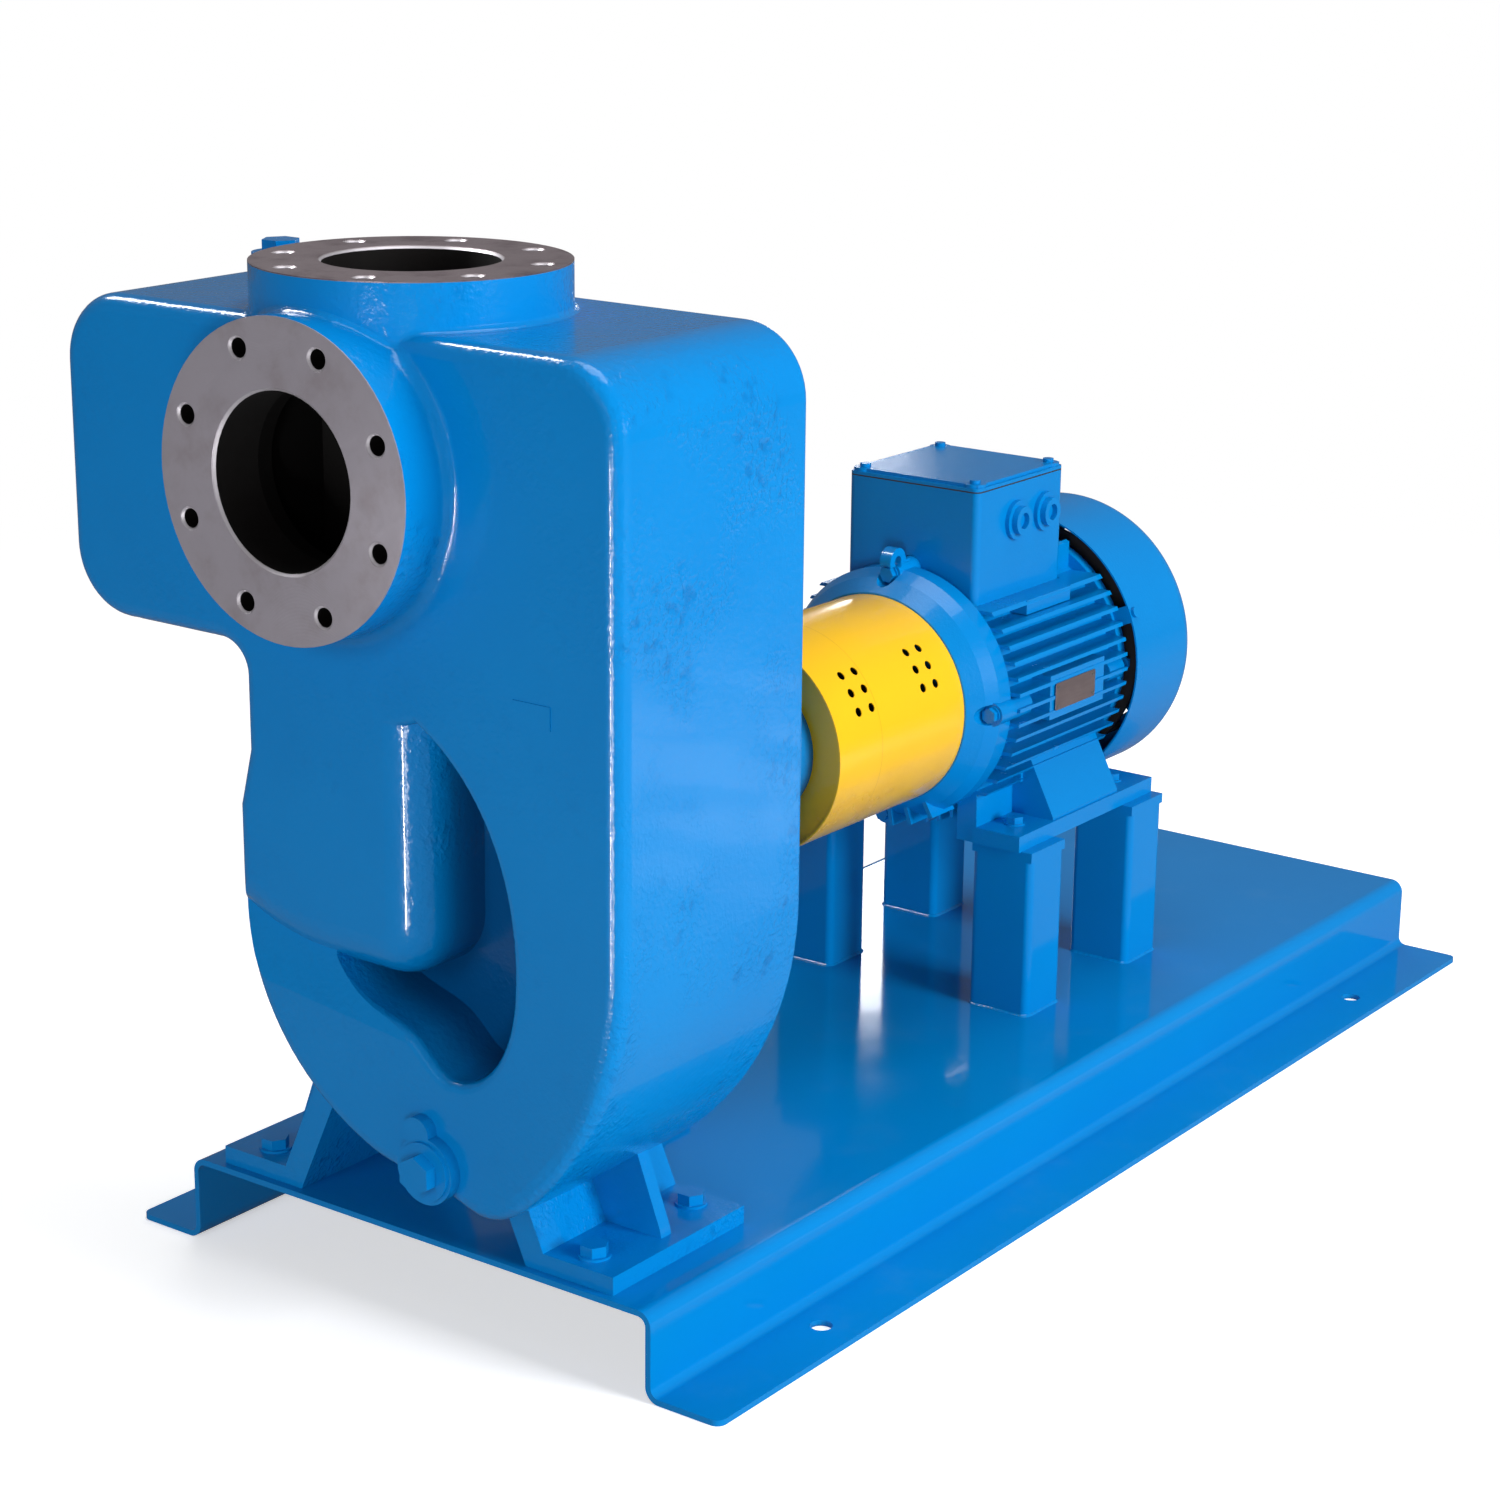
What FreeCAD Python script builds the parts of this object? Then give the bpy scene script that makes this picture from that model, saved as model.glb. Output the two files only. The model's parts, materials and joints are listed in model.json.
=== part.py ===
import FreeCAD, Part
import math
import os

# Self-priming centrifugal pump set: a cast pump casing with its shaft and bearing bracket,
# a guarded jaw coupling and a foot-mounted electric motor, all on one folded steel base.
# Units are millimetres.  The origin is the centre of the anchor-bolt pattern on the floor.
# +Y runs along the shaft from the pump to the motor, +X is to the right as seen from the
# suction flange, and +Z is up.

# Folded base
base_length = 1528.0
base_top_width = 576.0
base_overall_width = 732.0
base_height = 88.0
base_sheet = 6.0
base_bend = 15.0
flange_corner = 10.0
anchor_inset_x = 39.0
anchor_inset_y = 212.0
anchor_hole_r = 11.0

# Shaft line, above the base and to the left of its middle
shaft_height = 351.0
line_shift = -7.0

# Flanges, both nominal size 150
flange_od = 285.0
flange_pcd = 240.0
flange_bore = 158.0
flange_holes = 8
flange_hole_r = 8.75
flange_hole_depth = 34.0
flange_hole_chamfer = 2.2
bore_chamfer = 2.5
front_boss_round = 12.0
top_boss_round = 6.0
suction_drop = 129.0
suction_reach = 55.0
discharge_height = 44.0
discharge_setback = 116.0

# Pump casing
casing_front_y = -844.0
casing_depth = 263.0
casing_half_width = 325.0
casing_top_rise = 518.0
tank_floor_rise = 218.0
casing_corner = 65.0
casing_rim_round = 16.0
casing_back_round = 8.0
casing_wall = 16.0
nose_half_width = 116.0
neck_half_width = 102.0
neck_bottom_rise = 120.0
nose_top_rise = 66.0
armpit_round = 28.0
deep_nose_half_width = 190.0
deep_start = 100.0
spiral_end_angle = -50.0
spiral_power = 2.08

# Suction passage bulge and the pocket beside it
bulge_half_width = 103.0
bulge_bottom_rise = -68.0
bulge_corner = 56.0
bulge_edge_round = 44.0
bulge_left = -190.0
bulge_left_rise = 6.0
bulge_sag = (-96.0, -54.0)
bulge_flat_end = -10.0
pocket_depth = 84.0
pocket_tip = (96.0, 180.0)
pocket_shoulder = (176.0, 98.0)
pocket_side = (205.0, -30.0)
pocket_heel = (192.0, -98.0)
pocket_bottom = (156.0, -138.0)
pocket_toe = (126.0, -142.0)
pocket_step = (90.0, -114.0)
pocket_slope = (34.0, -92.0)
pocket_end = (-12.0, -58.0)
pocket_inside = (-12.0, 20.0)
pocket_inside_top = (38.0, 160.0)
hollow_start = (-175.0, -87.0)
hollow_end = (112.0, -121.0)
hollow_reach = 120.0
hollow_slope = 0.23
pocket_rim_round = 9.0

# Casing feet
foot_outer_x = 245.0
foot_inner_x = 142.0
foot_front_y = -755.0
foot_length = 199.0
foot_plate = 18.0
foot_web = 15.0
foot_wall_drop = 226.0
foot_wall_lean = 57.0
foot_wall_top = 30.0
foot_rib_drop = 152.0
foot_rib_inset = 16.0
foot_bolt_x = 202.0
foot_bolt_pitch = 146.0
foot_bolt_d = 16.0

# Drain and filler plugs
drain_x = 110.0
drain_drop = 230.0
drain_boss_r = 32.0
drain_boss_height = 12.0
drain_lug_r = 15.0
drain_lug_rise = 34.0
mark_pad = (210.0, 202.0, 41.0, 21.0)
mark_pad_height = 1.2
plug_thread_r = 16.5
plug_flange_r = 28.0
plug_hex = 32.0
plug_head = 15.0
filler_x = -262.0
filler_y = -622.0
filler_boss_r = 26.0
filler_boss_height = 12.0

# Hydraulic parts
impeller_r = 145.0
eye_r = 62.0
volute_front_y = -716.0
volute_width = 90.0
volute_gap = 12.0
tongue_angle = 35.0
tongue_shift = 40.0
riser_overlap = 60.0
wear_plate = 12.0
wear_gap = 0.6
blade_thickness = 9.0
blade_count = 4
shroud_thickness = 10.0
shroud_back_gap = 6.0
impeller_hub_r = 30.0
cover_spigot_r = 160.0
cover_flange_r = 187.0
cover_flange = 18.0
cover_bolt_pcd = 352.0
cover_bolts = 8
cover_bolt_d = 12.0
cover_plate = 18.0
seal_chamber_r = 44.0
seal_neck_r = 27.5
seal_seat = 14.0
seal_ring_r = 38.0
seal_gland_r = 60.0
seal_gland = 12.0
gland_bolt_d = 8.0
gland_bolt_r = 51.0
blade_root_r = 46.0
blade_wrap = 105.0
impeller_front_y = -690.0
impeller_stud_r = 10.0

# Pump shaft and bearing bracket
shaft_hub_r = 16.0
sleeve_r = 25.0
sleeve_end_y = -500.0
shaft_shoulder_r = 24.0
shaft_drive_r = 19.0
pump_bearing_bore_r = 20.0
pump_bearing_r = 45.0
pump_bearing_width = 23.0
bearing_balls = 8
bracket_flange = 18.0
lantern_end_y = -455.0
lantern_window_half = 46.0
lip_seal_r = 27.0
housing_r = 62.0
housing_end_y = -232.0
housing_flange_r = 76.0
housing_flange = 18.0
bearing_cap = 19.0
cap_bolt_pcd = 128.0
cap_bolt_d = 8.0
support_y = -425.0
support_width = 108.0
support_foot_length = 70.0
support_plate = 14.0
support_web = 16.0
support_web_top = 30.0
support_web_inset = 32.0
support_pad_reach = 26.0
support_pad_half = 58.0
support_pad_drop = 80.0
support_bolt_d = 12.0
support_bolt_x = 44.0
support_bolt_inset = 16.0
oil_plug_y = -365.0
oil_plug_r = 9.0
oil_glass_r = 11.0

# Jaw coupling
coupling_r = 60.0
hub_length = 66.0
jaw_length = 22.0
jaw_inner_r = 31.0
jaw_count = 4
spider_leg_angle = 18.0
soft_gap = 0.3
motor_shaft_r = 21.0
motor_shaft_length = 110.0
key_width = 12.0

# Coupling guard
guard_r = 117.0
guard_sheet = 2.0
guard_front_y = -223.0
guard_seam_y = -146.0
guard_rear_y = 10.0
guard_plate = 2.5
guard_hole_r = 5.0
guard_hole_first = 23.0
guard_hole_step = 10.3
guard_hole_pitch = 23.5
guard_hole_inset = 45.0
guard_hole_rear = 88.0
guard_flange_drop = 16.0
guard_strap = 12.0

# Motor, frame size 160 M
motor_foot_pitch_x = 254.0
motor_foot_pitch_y = 210.0
motor_shoulder_y = -3.0
motor_foot_setback = 108.0
motor_foot_width = 62.0
motor_foot_overhang = 40.0
motor_foot_plate = 18.0
motor_foot_hole_r = 7.25
motor_bolt_d = 12.0
frame_start_y = 66.0
frame_length = 230.0
barrel_r = 128.0
barrel_wall = 9.0
lead_hole_r = 14.0
fin_tip_r = 153.0
fin_thickness = 4.0
fin_pitch = 17.0
fin_rows = 6
bottom_fin_rows = 4
plate_pad_y = 131.0
plate_pad_length = 115.0
plate_pad_height = 50.0
rail_x = 92.0
rail_y = 136.0
rail_length = 92.0
rail_rise = 96.0
gusset_inset = 35.0
shield_r = 141.0
shield_flange = 14.0
shield_bolt_pcd = 272.0
shield_bolt_d = 10.0
shield_ear_r = 13.0
shield_seat_y = 36.0
shield_rib_angles = (-60.0, -72.0, -82.0, -98.0, -108.0, -120.0)
lug_y = 40.0
lug_rise = 150.0
lug_r = 15.0
lug_eye_r = 6.0
lug_thickness = 14.0
motor_bearing_bore_r = 22.5
motor_bearing_r = 50.0
motor_bearing_width = 25.0
drive_bearing_y = 27.0
rotor_spider_r = 30.0
stator_bore_r = 75.5
rotor_gap = 0.5
stator_length = 150.0
winding_overhang = 24.0
fan_cover_r = 163.0
fan_cover_sheet = 2.0
fan_cover_front_y = 301.0
fan_cover_straight = 115.0
fan_cover_dome = 20.0
fan_cover_dome_round = 26.0
fan_r = 140.0
fan_width = 46.0
fan_blades = 8
fan_disc = 5.0
fan_y = 342.0
fan_shaft_r = 20.0
fan_screw_y = 309.0
fan_screw_d = 6.0
fan_screw_angle = 22.5
grille_counts = (12, 24)
grille_starts = (24.0, 66.0)
grille_ends = (58.0, 122.0)
grille_halves = (4.0, 4.5)

# Terminal box
box_half_width = 85.0
box_front_y = 76.0
box_length = 177.0
box_rise = 229.0
box_split_rise = 172.0
box_skirt_rise = 92.0
box_wall = 6.0
box_lid = 7.0
box_corner = 8.0
gasket = 1.5
lid_screw_inset = 13.0
lid_post_r = 9.0
lid_inset = 4.0
lid_ear_r = 12.0
entry_plug_r = 22.0
entry_neck_r = 16.0
entry_neck = 12.0
entry_flange = 5.0
entry_recess_r = 9.0
entry_thread_r = 12.0
entry_pitch = 59.0
entry_first = 78.0
entry_rise = 188.0
lid_screw_d = 6.0
board_y = 168.0
board_half_x = 30.0
board_half_y = 40.0
board_seat = 4.0
board_height = 14.0
stud_r = 3.0
stud_height = 16.0
stud_pitch = 24.0

# Motor posts
post_width = 77.0
post_side = 70.0
post_wall = 5.0
post_height = 180.0
pad_plate = 11.0
post_centre_x = 133.0
post_front_y = 105.0
post_pitch = 218.0
post_round = 8.0

# Whole circle, in degrees
full_turn = 360.0

# Clearances
fit_gap = 0.05
bolt_gap = 0.4
thread_gap = 0.1

base_top = base_height
shaft_z = base_top + shaft_height
casing_rear_y = casing_front_y + casing_depth
casing_top = shaft_z + casing_top_rise
tank_bottom = shaft_z + tank_floor_rise
suction_z = casing_top - suction_drop
suction_face_y = casing_front_y - suction_reach
discharge_z = casing_top + discharge_height
bulge_top = suction_z - (suction_drop - casing_wall) / 2
discharge_y = casing_front_y + discharge_setback
volute_rear_y = volute_front_y + volute_width
cover_face_y = casing_rear_y + cover_flange
motor_foot_z = base_top + post_height + pad_plate
motor_hole_y = motor_shoulder_y + motor_foot_setback
frame_end_y = frame_start_y + frame_length
bracket_face_y = cover_face_y + bracket_flange
front_bearing_y = lantern_end_y + 15
rear_bearing_y = housing_end_y - 3 - pump_bearing_width
motor_shaft_end_y = motor_shoulder_y - motor_shaft_length
spider_y = motor_shaft_end_y - jaw_length
pump_hub_y = spider_y - hub_length
pump_shaft_end_y = spider_y - 4
motor_hub_end_y = spider_y + jaw_length + hub_length
rear_motor_bearing_y = frame_end_y + 4
box_end_y = box_front_y + box_length
entry_z = shaft_z + entry_rise

V = FreeCAD.Vector
X = V(1, 0, 0)
Y = V(0, 1, 0)
Z = V(0, 0, 1)
nodes = {}


# Building blocks
def block(x0, x1, y0, y1, z0, z1):
    return Part.makeBox(x1 - x0, y1 - y0, z1 - z0, V(x0, y0, z0))


def rod_y(radius, y0, y1, x=0.0, z=None):
    height = shaft_z if z is None else z
    return Part.makeCylinder(radius, y1 - y0, V(x, y0, height), Y)


def rod_x(radius, x0, x1, y, z):
    return Part.makeCylinder(radius, x1 - x0, V(x0, y, z), X)


def rod_z(radius, z0, z1, x, y):
    return Part.makeCylinder(radius, z1 - z0, V(x, y, z0), Z)


def ring_y(outer, inner, y0, y1, x=0.0, z=None):
    return rod_y(outer, y0, y1, x, z).cut(rod_y(inner, y0 - 1, y1 + 1, x, z))


def joined(shapes):
    return shapes[0].multiFuse(shapes[1:]).removeSplitter()


def turned_y(profile):
    # A closed profile of (radius, y) points turned about the shaft line.
    points = [V(radius, y, shaft_z) for radius, y in profile]
    face = Part.Face(Part.makePolygon(points + points[:1]))
    return face.revolve(V(0, 0, shaft_z), Y, 360)


def spun(shape, angle):
    # Positive angles turn from +X towards +Z, as seen from the suction side.
    copy = shape.copy()
    copy.rotate(V(0, 0, shaft_z), Y, -angle)
    return copy


def ring_of(shape, count, first=0.0):
    return [spun(shape, first + full_turn * step / count) for step in range(count)]


def mirrored_x(shape):
    return shape.mirror(V(0, 0, 0), X)


def polar(radius, degrees):
    angle = math.radians(degrees)
    return radius * math.cos(angle), shaft_z + radius * math.sin(angle)


def arc_through(a, b, c, y):
    return Part.Arc(V(a[0], y, a[1]), V(b[0], y, b[1]), V(c[0], y, c[1])).toShape()


def line_between(a, b, y):
    return Part.LineSegment(V(a[0], y, a[1]), V(b[0], y, b[1])).toShape()


def corner_arc(centre, radius, first, last, y):
    middle = (first + last) / 2
    places = [(centre[0] + radius * math.cos(math.radians(a)),
               centre[1] + radius * math.sin(math.radians(a))) for a in (first, middle, last)]
    return arc_through(places[0], places[1], places[2], y)


def prism_y(edges, depth):
    return Part.Face(Part.Wire(edges)).extrude(V(0, depth, 0))


def rounded_prism_y(x0, x1, z0, z1, radius, y0, y1):
    corners = [((x1 - radius, z1 - radius), 90, 0), ((x1 - radius, z0 + radius), 0, -90),
               ((x0 + radius, z0 + radius), -90, -180), ((x0 + radius, z1 - radius), 180, 90)]
    arcs = [corner_arc(centre, radius, first, last, y0) for centre, first, last in corners]
    edges = []
    for index, arc in enumerate(arcs):
        following = arcs[(index + 1) % 4]
        start = arc.Vertexes[-1].Point
        end = following.Vertexes[0].Point
        edges.append(arc)
        edges.append(Part.LineSegment(start, end).toShape())
    return prism_y(edges, y1 - y0)


def hexagon(across_flats, height, base, direction):
    radius = across_flats / math.sqrt(3)
    side = Z if abs(direction.z) < 0.5 else X
    points = []
    for step in range(6):
        spoke = FreeCAD.Rotation(direction, 60 * step).multVec(side) * radius
        points.append(base + spoke)
    face = Part.Face(Part.makePolygon(points + points[:1]))
    return face.extrude(direction * height)


def bolt(diameter, shank, base, direction):
    # Hexagon-head bolt: its head stands on the seat at base, its shank runs the other way.
    head = hexagon(1.5 * diameter, 0.63 * diameter, base, direction)
    washer = Part.makeCylinder(diameter, 0.15 * diameter, base, direction)
    body = Part.makeCylinder(diameter / 2 - thread_gap, shank, base - direction * shank, direction)
    raised = head.translated(direction * 0.15 * diameter)
    return joined([raised, washer, body])


def edges_where(shape, test):
    return [edge for edge in shape.Edges if test(edge)]


def lies_on_y(edge, y):
    box = edge.BoundBox
    return abs(box.YMin - y) < 0.01 and abs(box.YMax - y) < 0.01


# Folded base
def make_base():
    half = base_length / 2
    top_x = base_top_width / 2
    out_x = base_overall_width / 2
    # The sheet runs over the top and down both sides, then turns out along the floor.
    section = [(-out_x, 0), (-top_x + base_sheet, 0), (-top_x + base_sheet, base_height - base_sheet),
               (top_x - base_sheet, base_height - base_sheet), (top_x - base_sheet, 0), (out_x, 0),
               (out_x, base_sheet), (top_x, base_sheet), (top_x, base_height),
               (-top_x, base_height), (-top_x, base_sheet), (-out_x, base_sheet)]
    points = [V(x, -half, z) for x, z in section]
    sheet = Part.Face(Part.makePolygon(points + points[:1])).extrude(V(0, base_length, 0))

    def bend_edge(edge, x, z):
        box = edge.BoundBox
        return box.YLength > base_length - 1 and abs(abs(box.XMin) - x) < 0.01 and abs(box.ZMin - z) < 0.01

    inside = base_bend - base_sheet
    outer_bends = edges_where(sheet, lambda e: bend_edge(e, top_x, base_height)
                              or bend_edge(e, top_x - base_sheet, 0))
    sheet = sheet.makeFillet(base_bend, outer_bends)
    inner_bends = edges_where(sheet, lambda e: bend_edge(e, top_x - base_sheet, base_height - base_sheet)
                              or bend_edge(e, top_x, base_sheet))
    sheet = sheet.makeFillet(inside, inner_bends)

    def flange_tip(edge):
        box = edge.BoundBox
        upright = box.ZLength > base_sheet - 0.01 and box.XLength < 0.01 and box.YLength < 0.01
        return upright and abs(abs(box.XMin) - out_x) < 0.01

    sheet = sheet.makeFillet(flange_corner, edges_where(sheet, flange_tip))
    anchor_x = base_overall_width / 2 - anchor_inset_x
    anchor_y = base_length / 2 - anchor_inset_y
    holes = [rod_z(anchor_hole_r, -1, base_sheet + 1, side_x * anchor_x, side_y * anchor_y)
             for side_x in (-1, 1) for side_y in (-1, 1)]
    for x, y in casing_bolt_places():
        holes.append(rod_z(foot_bolt_d / 2 + bolt_gap, base_top - base_sheet - 1, base_top + 1,
                           x + line_shift, y))
    for x, y in support_bolt_places():
        holes.append(rod_z(support_bolt_d / 2 + bolt_gap, base_top - base_sheet - 1, base_top + 1,
                           x + line_shift, y))
    return sheet.cut(Part.makeCompound(holes))


def casing_bolt_places():
    middle = foot_front_y + foot_length / 2
    return [(side * foot_bolt_x, middle + end * foot_bolt_pitch / 2)
            for side in (-1, 1) for end in (-1, 1)]


def support_bolt_places():
    reach = support_width / 2 - support_bolt_inset
    return [(side * reach, support_y) for side in (-1, 1)]


# Pump casing
def spiral_points(start_radius, end_radius, power, steps=9):
    # Radius grows from the left of the shaft, round the bottom, to the right-hand wall.
    places = []
    sweep = 180.0 + spiral_end_angle
    for step in range(steps + 1):
        share = step / steps
        radius = start_radius + (end_radius - start_radius) * share ** power
        places.append(polar(radius, -180.0 + sweep * share))
    return places


def spiral_edge(start_radius, end_radius, power, y):
    places = [V(x, y, z) for x, z in spiral_points(start_radius, end_radius, power)]
    curve = Part.BSplineCurve()
    end_angle = math.radians(spiral_end_angle)
    curve.interpolate(Points=places, InitialTangent=V(0, 0, -1) * start_radius,
                      FinalTangent=V(-math.sin(end_angle), 0, math.cos(end_angle)) * end_radius)
    return curve.toShape()


def casing_outline(y, nose, neck, power):
    # The whole front outline: tank above, suction passage and volute below.
    right = casing_half_width
    round_x = right - casing_corner
    top = casing_top
    armpit_x = -neck - armpit_round
    armpit_z = tank_bottom - armpit_round
    end = polar(right, spiral_end_angle)
    nose_z = shaft_z + nose_top_rise
    neck_z = shaft_z + neck_bottom_rise
    return [
        line_between((-round_x, top), (round_x, top), y),
        corner_arc((round_x, top - casing_corner), casing_corner, 90, 0, y),
        line_between((right, top - casing_corner), (right, shaft_z), y),
        arc_through((right, shaft_z), polar(right, spiral_end_angle / 2), end, y),
        spiral_edge(nose, right, power, y),
        line_between((-nose, shaft_z), (-nose, nose_z), y),
        line_between((-nose, nose_z), (-neck, neck_z), y),
        line_between((-neck, neck_z), (-neck, armpit_z), y),
        corner_arc((armpit_x, armpit_z), armpit_round, 0, 90, y),
        line_between((armpit_x, tank_bottom), (-round_x, tank_bottom), y),
        corner_arc((-round_x, tank_bottom + casing_corner), casing_corner, -90, -180, y),
        line_between((-right, tank_bottom + casing_corner), (-right, top - casing_corner), y),
        corner_arc((-round_x, top - casing_corner), casing_corner, 180, 90, y),
    ]


def casing_shell():
    front = Part.Wire(casing_outline(casing_front_y, nose_half_width, neck_half_width, spiral_power))
    deep_y = casing_front_y + deep_start
    deep_edges = casing_outline(deep_y, deep_nose_half_width, deep_nose_half_width - 12, 1.0)
    deep = Part.Wire(deep_edges)
    loft = Part.makeLoft([front, deep], True, True)
    rear = Part.Face(deep).extrude(V(0, casing_rear_y - deep_y, 0))
    shell = loft.fuse(rear)
    rim = edges_where(shell, lambda e: lies_on_y(e, casing_front_y))
    shell = shell.makeFillet(casing_rim_round, rim)
    back = edges_where(shell, lambda e: lies_on_y(e, casing_rear_y))
    return shell.makeFillet(casing_back_round, back)


def pocket_cutter():
    # Crescent recess to the right of the suction passage and below it.
    y = casing_front_y - 1
    tip, shoulder, side, heel, bottom, toe, step, slope, end, inside, inside_top = [
        (x, shaft_z + rise) for x, rise in (
            pocket_tip, pocket_shoulder, pocket_side, pocket_heel, pocket_bottom, pocket_toe,
            pocket_step, pocket_slope, pocket_end, pocket_inside, pocket_inside_top)]
    curve = Part.BSplineCurve()
    curve.interpolate([V(x, y, z) for x, z in (tip, shoulder, side, heel, bottom, toe, step, slope, end)])
    edges = [
        curve.toShape(),
        line_between(end, inside, y),
        line_between(inside, inside_top, y),
        line_between(inside_top, tip, y),
    ]
    return prism_y(edges, pocket_depth + 1)


def bulge_form():
    # Front of the suction passage: flat below, lifting in a long curve to the left.
    y = casing_front_y
    depth = pocket_depth + 6
    low = shaft_z + bulge_bottom_rise
    right = bulge_half_width
    sag = (bulge_sag[0], shaft_z + bulge_sag[1])
    left = (bulge_left, shaft_z + bulge_left_rise)
    edges = [
        line_between((right, bulge_top), (right, low + bulge_corner), y),
        corner_arc((right - bulge_corner, low + bulge_corner), bulge_corner, 0, -90, y),
        line_between((right - bulge_corner, low), (bulge_flat_end, low), y),
        arc_through((bulge_flat_end, low), sag, left, y),
        line_between(left, (bulge_left, bulge_top), y),
        line_between((bulge_left, bulge_top), (right, bulge_top), y),
    ]
    form = prism_y(edges, depth)
    rim = edges_where(form, lambda e: lies_on_y(e, y) and e.BoundBox.ZMin < bulge_top - 1
                      and e.BoundBox.XMax > bulge_left + 1)
    return form.makeFillet(bulge_edge_round, rim)


def front_hollow():
    # Shallow slope that sets the volute's front back below the passage and runs out downwards.
    run = V(hollow_end[0] - hollow_start[0], 0, hollow_end[1] - hollow_start[1])
    rise = V(-run.z, 0, run.x)
    rise.normalize()
    base = V(hollow_start[0], casing_front_y - 1, shaft_z + hollow_start[1])
    depth = V(0, 1 + hollow_slope * hollow_reach, 0)
    corners = [base - rise / hollow_slope, base + rise * hollow_reach, base + rise * hollow_reach + depth]
    return Part.Face(Part.makePolygon(corners + corners[:1])).extrude(run)


def suction_bulge():
    return bulge_form().common(block(pocket_end[0] - 20, casing_half_width, casing_front_y,
                                     casing_front_y + pocket_depth + 6, tank_bottom - 400, bulge_top + 1))


def suction_channel():
    # Water way from the suction flange down to the impeller eye.
    wall = casing_wall
    front = casing_front_y + wall
    rear = casing_front_y + pocket_depth + 2
    way = rounded_prism_y(-neck_half_width + wall + 2, bulge_half_width - wall,
                          shaft_z + bulge_bottom_rise + wall, suction_z + flange_bore / 2 + 2,
                          bulge_corner - wall, front, rear)
    throat = rod_y(flange_bore / 2, suction_face_y - 1, front + 1, 0.0, suction_z)
    eye = rod_y(eye_r, rear - 1, volute_front_y + 1)
    return joined([way, throat, eye])


def discharge_chambers():
    # Volute, right-hand riser and the separating tank above, as one water space.
    wall = casing_wall
    inner_x = casing_half_width - wall
    inner_front = casing_front_y + wall
    inner_rear = casing_rear_y - wall
    corner = casing_corner - wall
    tank = rounded_prism_y(-inner_x, inner_x, tank_bottom + wall, casing_top - wall, corner,
                           inner_front, inner_rear)
    duct_rear = casing_front_y + pocket_depth + 2 + wall
    duct = block(-bulge_half_width - 2, bulge_half_width, inner_front - 1, duct_rear,
                 tank_bottom - 50, suction_z + flange_bore / 2 + 2 + wall)
    tank = tank.cut(duct)
    riser_x = pocket_side[0] + wall
    low = shaft_z - math.sqrt(inner_x ** 2 - riser_x ** 2)
    drop = math.degrees(math.asin((shaft_z - low) / inner_x))
    riser_top = tank_bottom + riser_overlap
    y = inner_front
    riser = prism_y([
        line_between((riser_x, riser_top), (inner_x, riser_top), y),
        line_between((inner_x, riser_top), (inner_x, shaft_z), y),
        arc_through((inner_x, shaft_z), polar(inner_x, -drop / 2), (riser_x, low), y),
        line_between((riser_x, low), (riser_x, riser_top), y),
    ], inner_rear - inner_front)
    y = volute_front_y
    start = deep_nose_half_width - wall - 4
    tongue_r = impeller_r + volute_gap
    tongue = polar(tongue_r, tongue_angle)
    volute_top = tank_bottom + tongue_shift
    volute = prism_y([
        spiral_edge(start, inner_x, 1.0, y),
        arc_through(polar(inner_x, spiral_end_angle), polar(inner_x, spiral_end_angle / 2),
                    (inner_x, shaft_z), y),
        line_between((inner_x, shaft_z), (inner_x, volute_top), y),
        line_between((inner_x, volute_top), (tongue[0] + tongue_shift, volute_top), y),
        line_between((tongue[0] + tongue_shift, volute_top), tongue, y),
        arc_through(tongue, polar(tongue_r + 4, 110), (-start, shaft_z), y),
    ], volute_width)
    outlet = rod_z(flange_bore / 2, casing_top - wall - 1, discharge_z + 1, 0.0, discharge_y)
    return joined([tank, riser, volute, outlet])


def flange_boss(centre, direction, length):
    start = centre - direction * length
    return Part.makeCylinder(flange_od / 2, length, start, direction)


def flange_drilling(centre, direction, first_axis):
    # Tapped holes with chamfered mouths, and the chamfer round the bore.
    cutters = []
    for step in range(flange_holes):
        angle = full_turn * (step + 0.5) / flange_holes
        spoke = FreeCAD.Rotation(direction, angle).multVec(first_axis) * (flange_pcd / 2)
        mouth = centre + spoke
        cutters.append(Part.makeCylinder(flange_hole_r, flange_hole_depth + 1,
                                         mouth - direction * flange_hole_depth, direction))
        cutters.append(Part.makeCone(flange_hole_r, flange_hole_r + flange_hole_chamfer,
                                     flange_hole_chamfer, mouth - direction * flange_hole_chamfer, direction))
    cutters.append(Part.makeCone(flange_bore / 2, flange_bore / 2 + bore_chamfer, bore_chamfer,
                                 centre - direction * bore_chamfer, direction))
    return Part.makeCompound(cutters)


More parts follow.
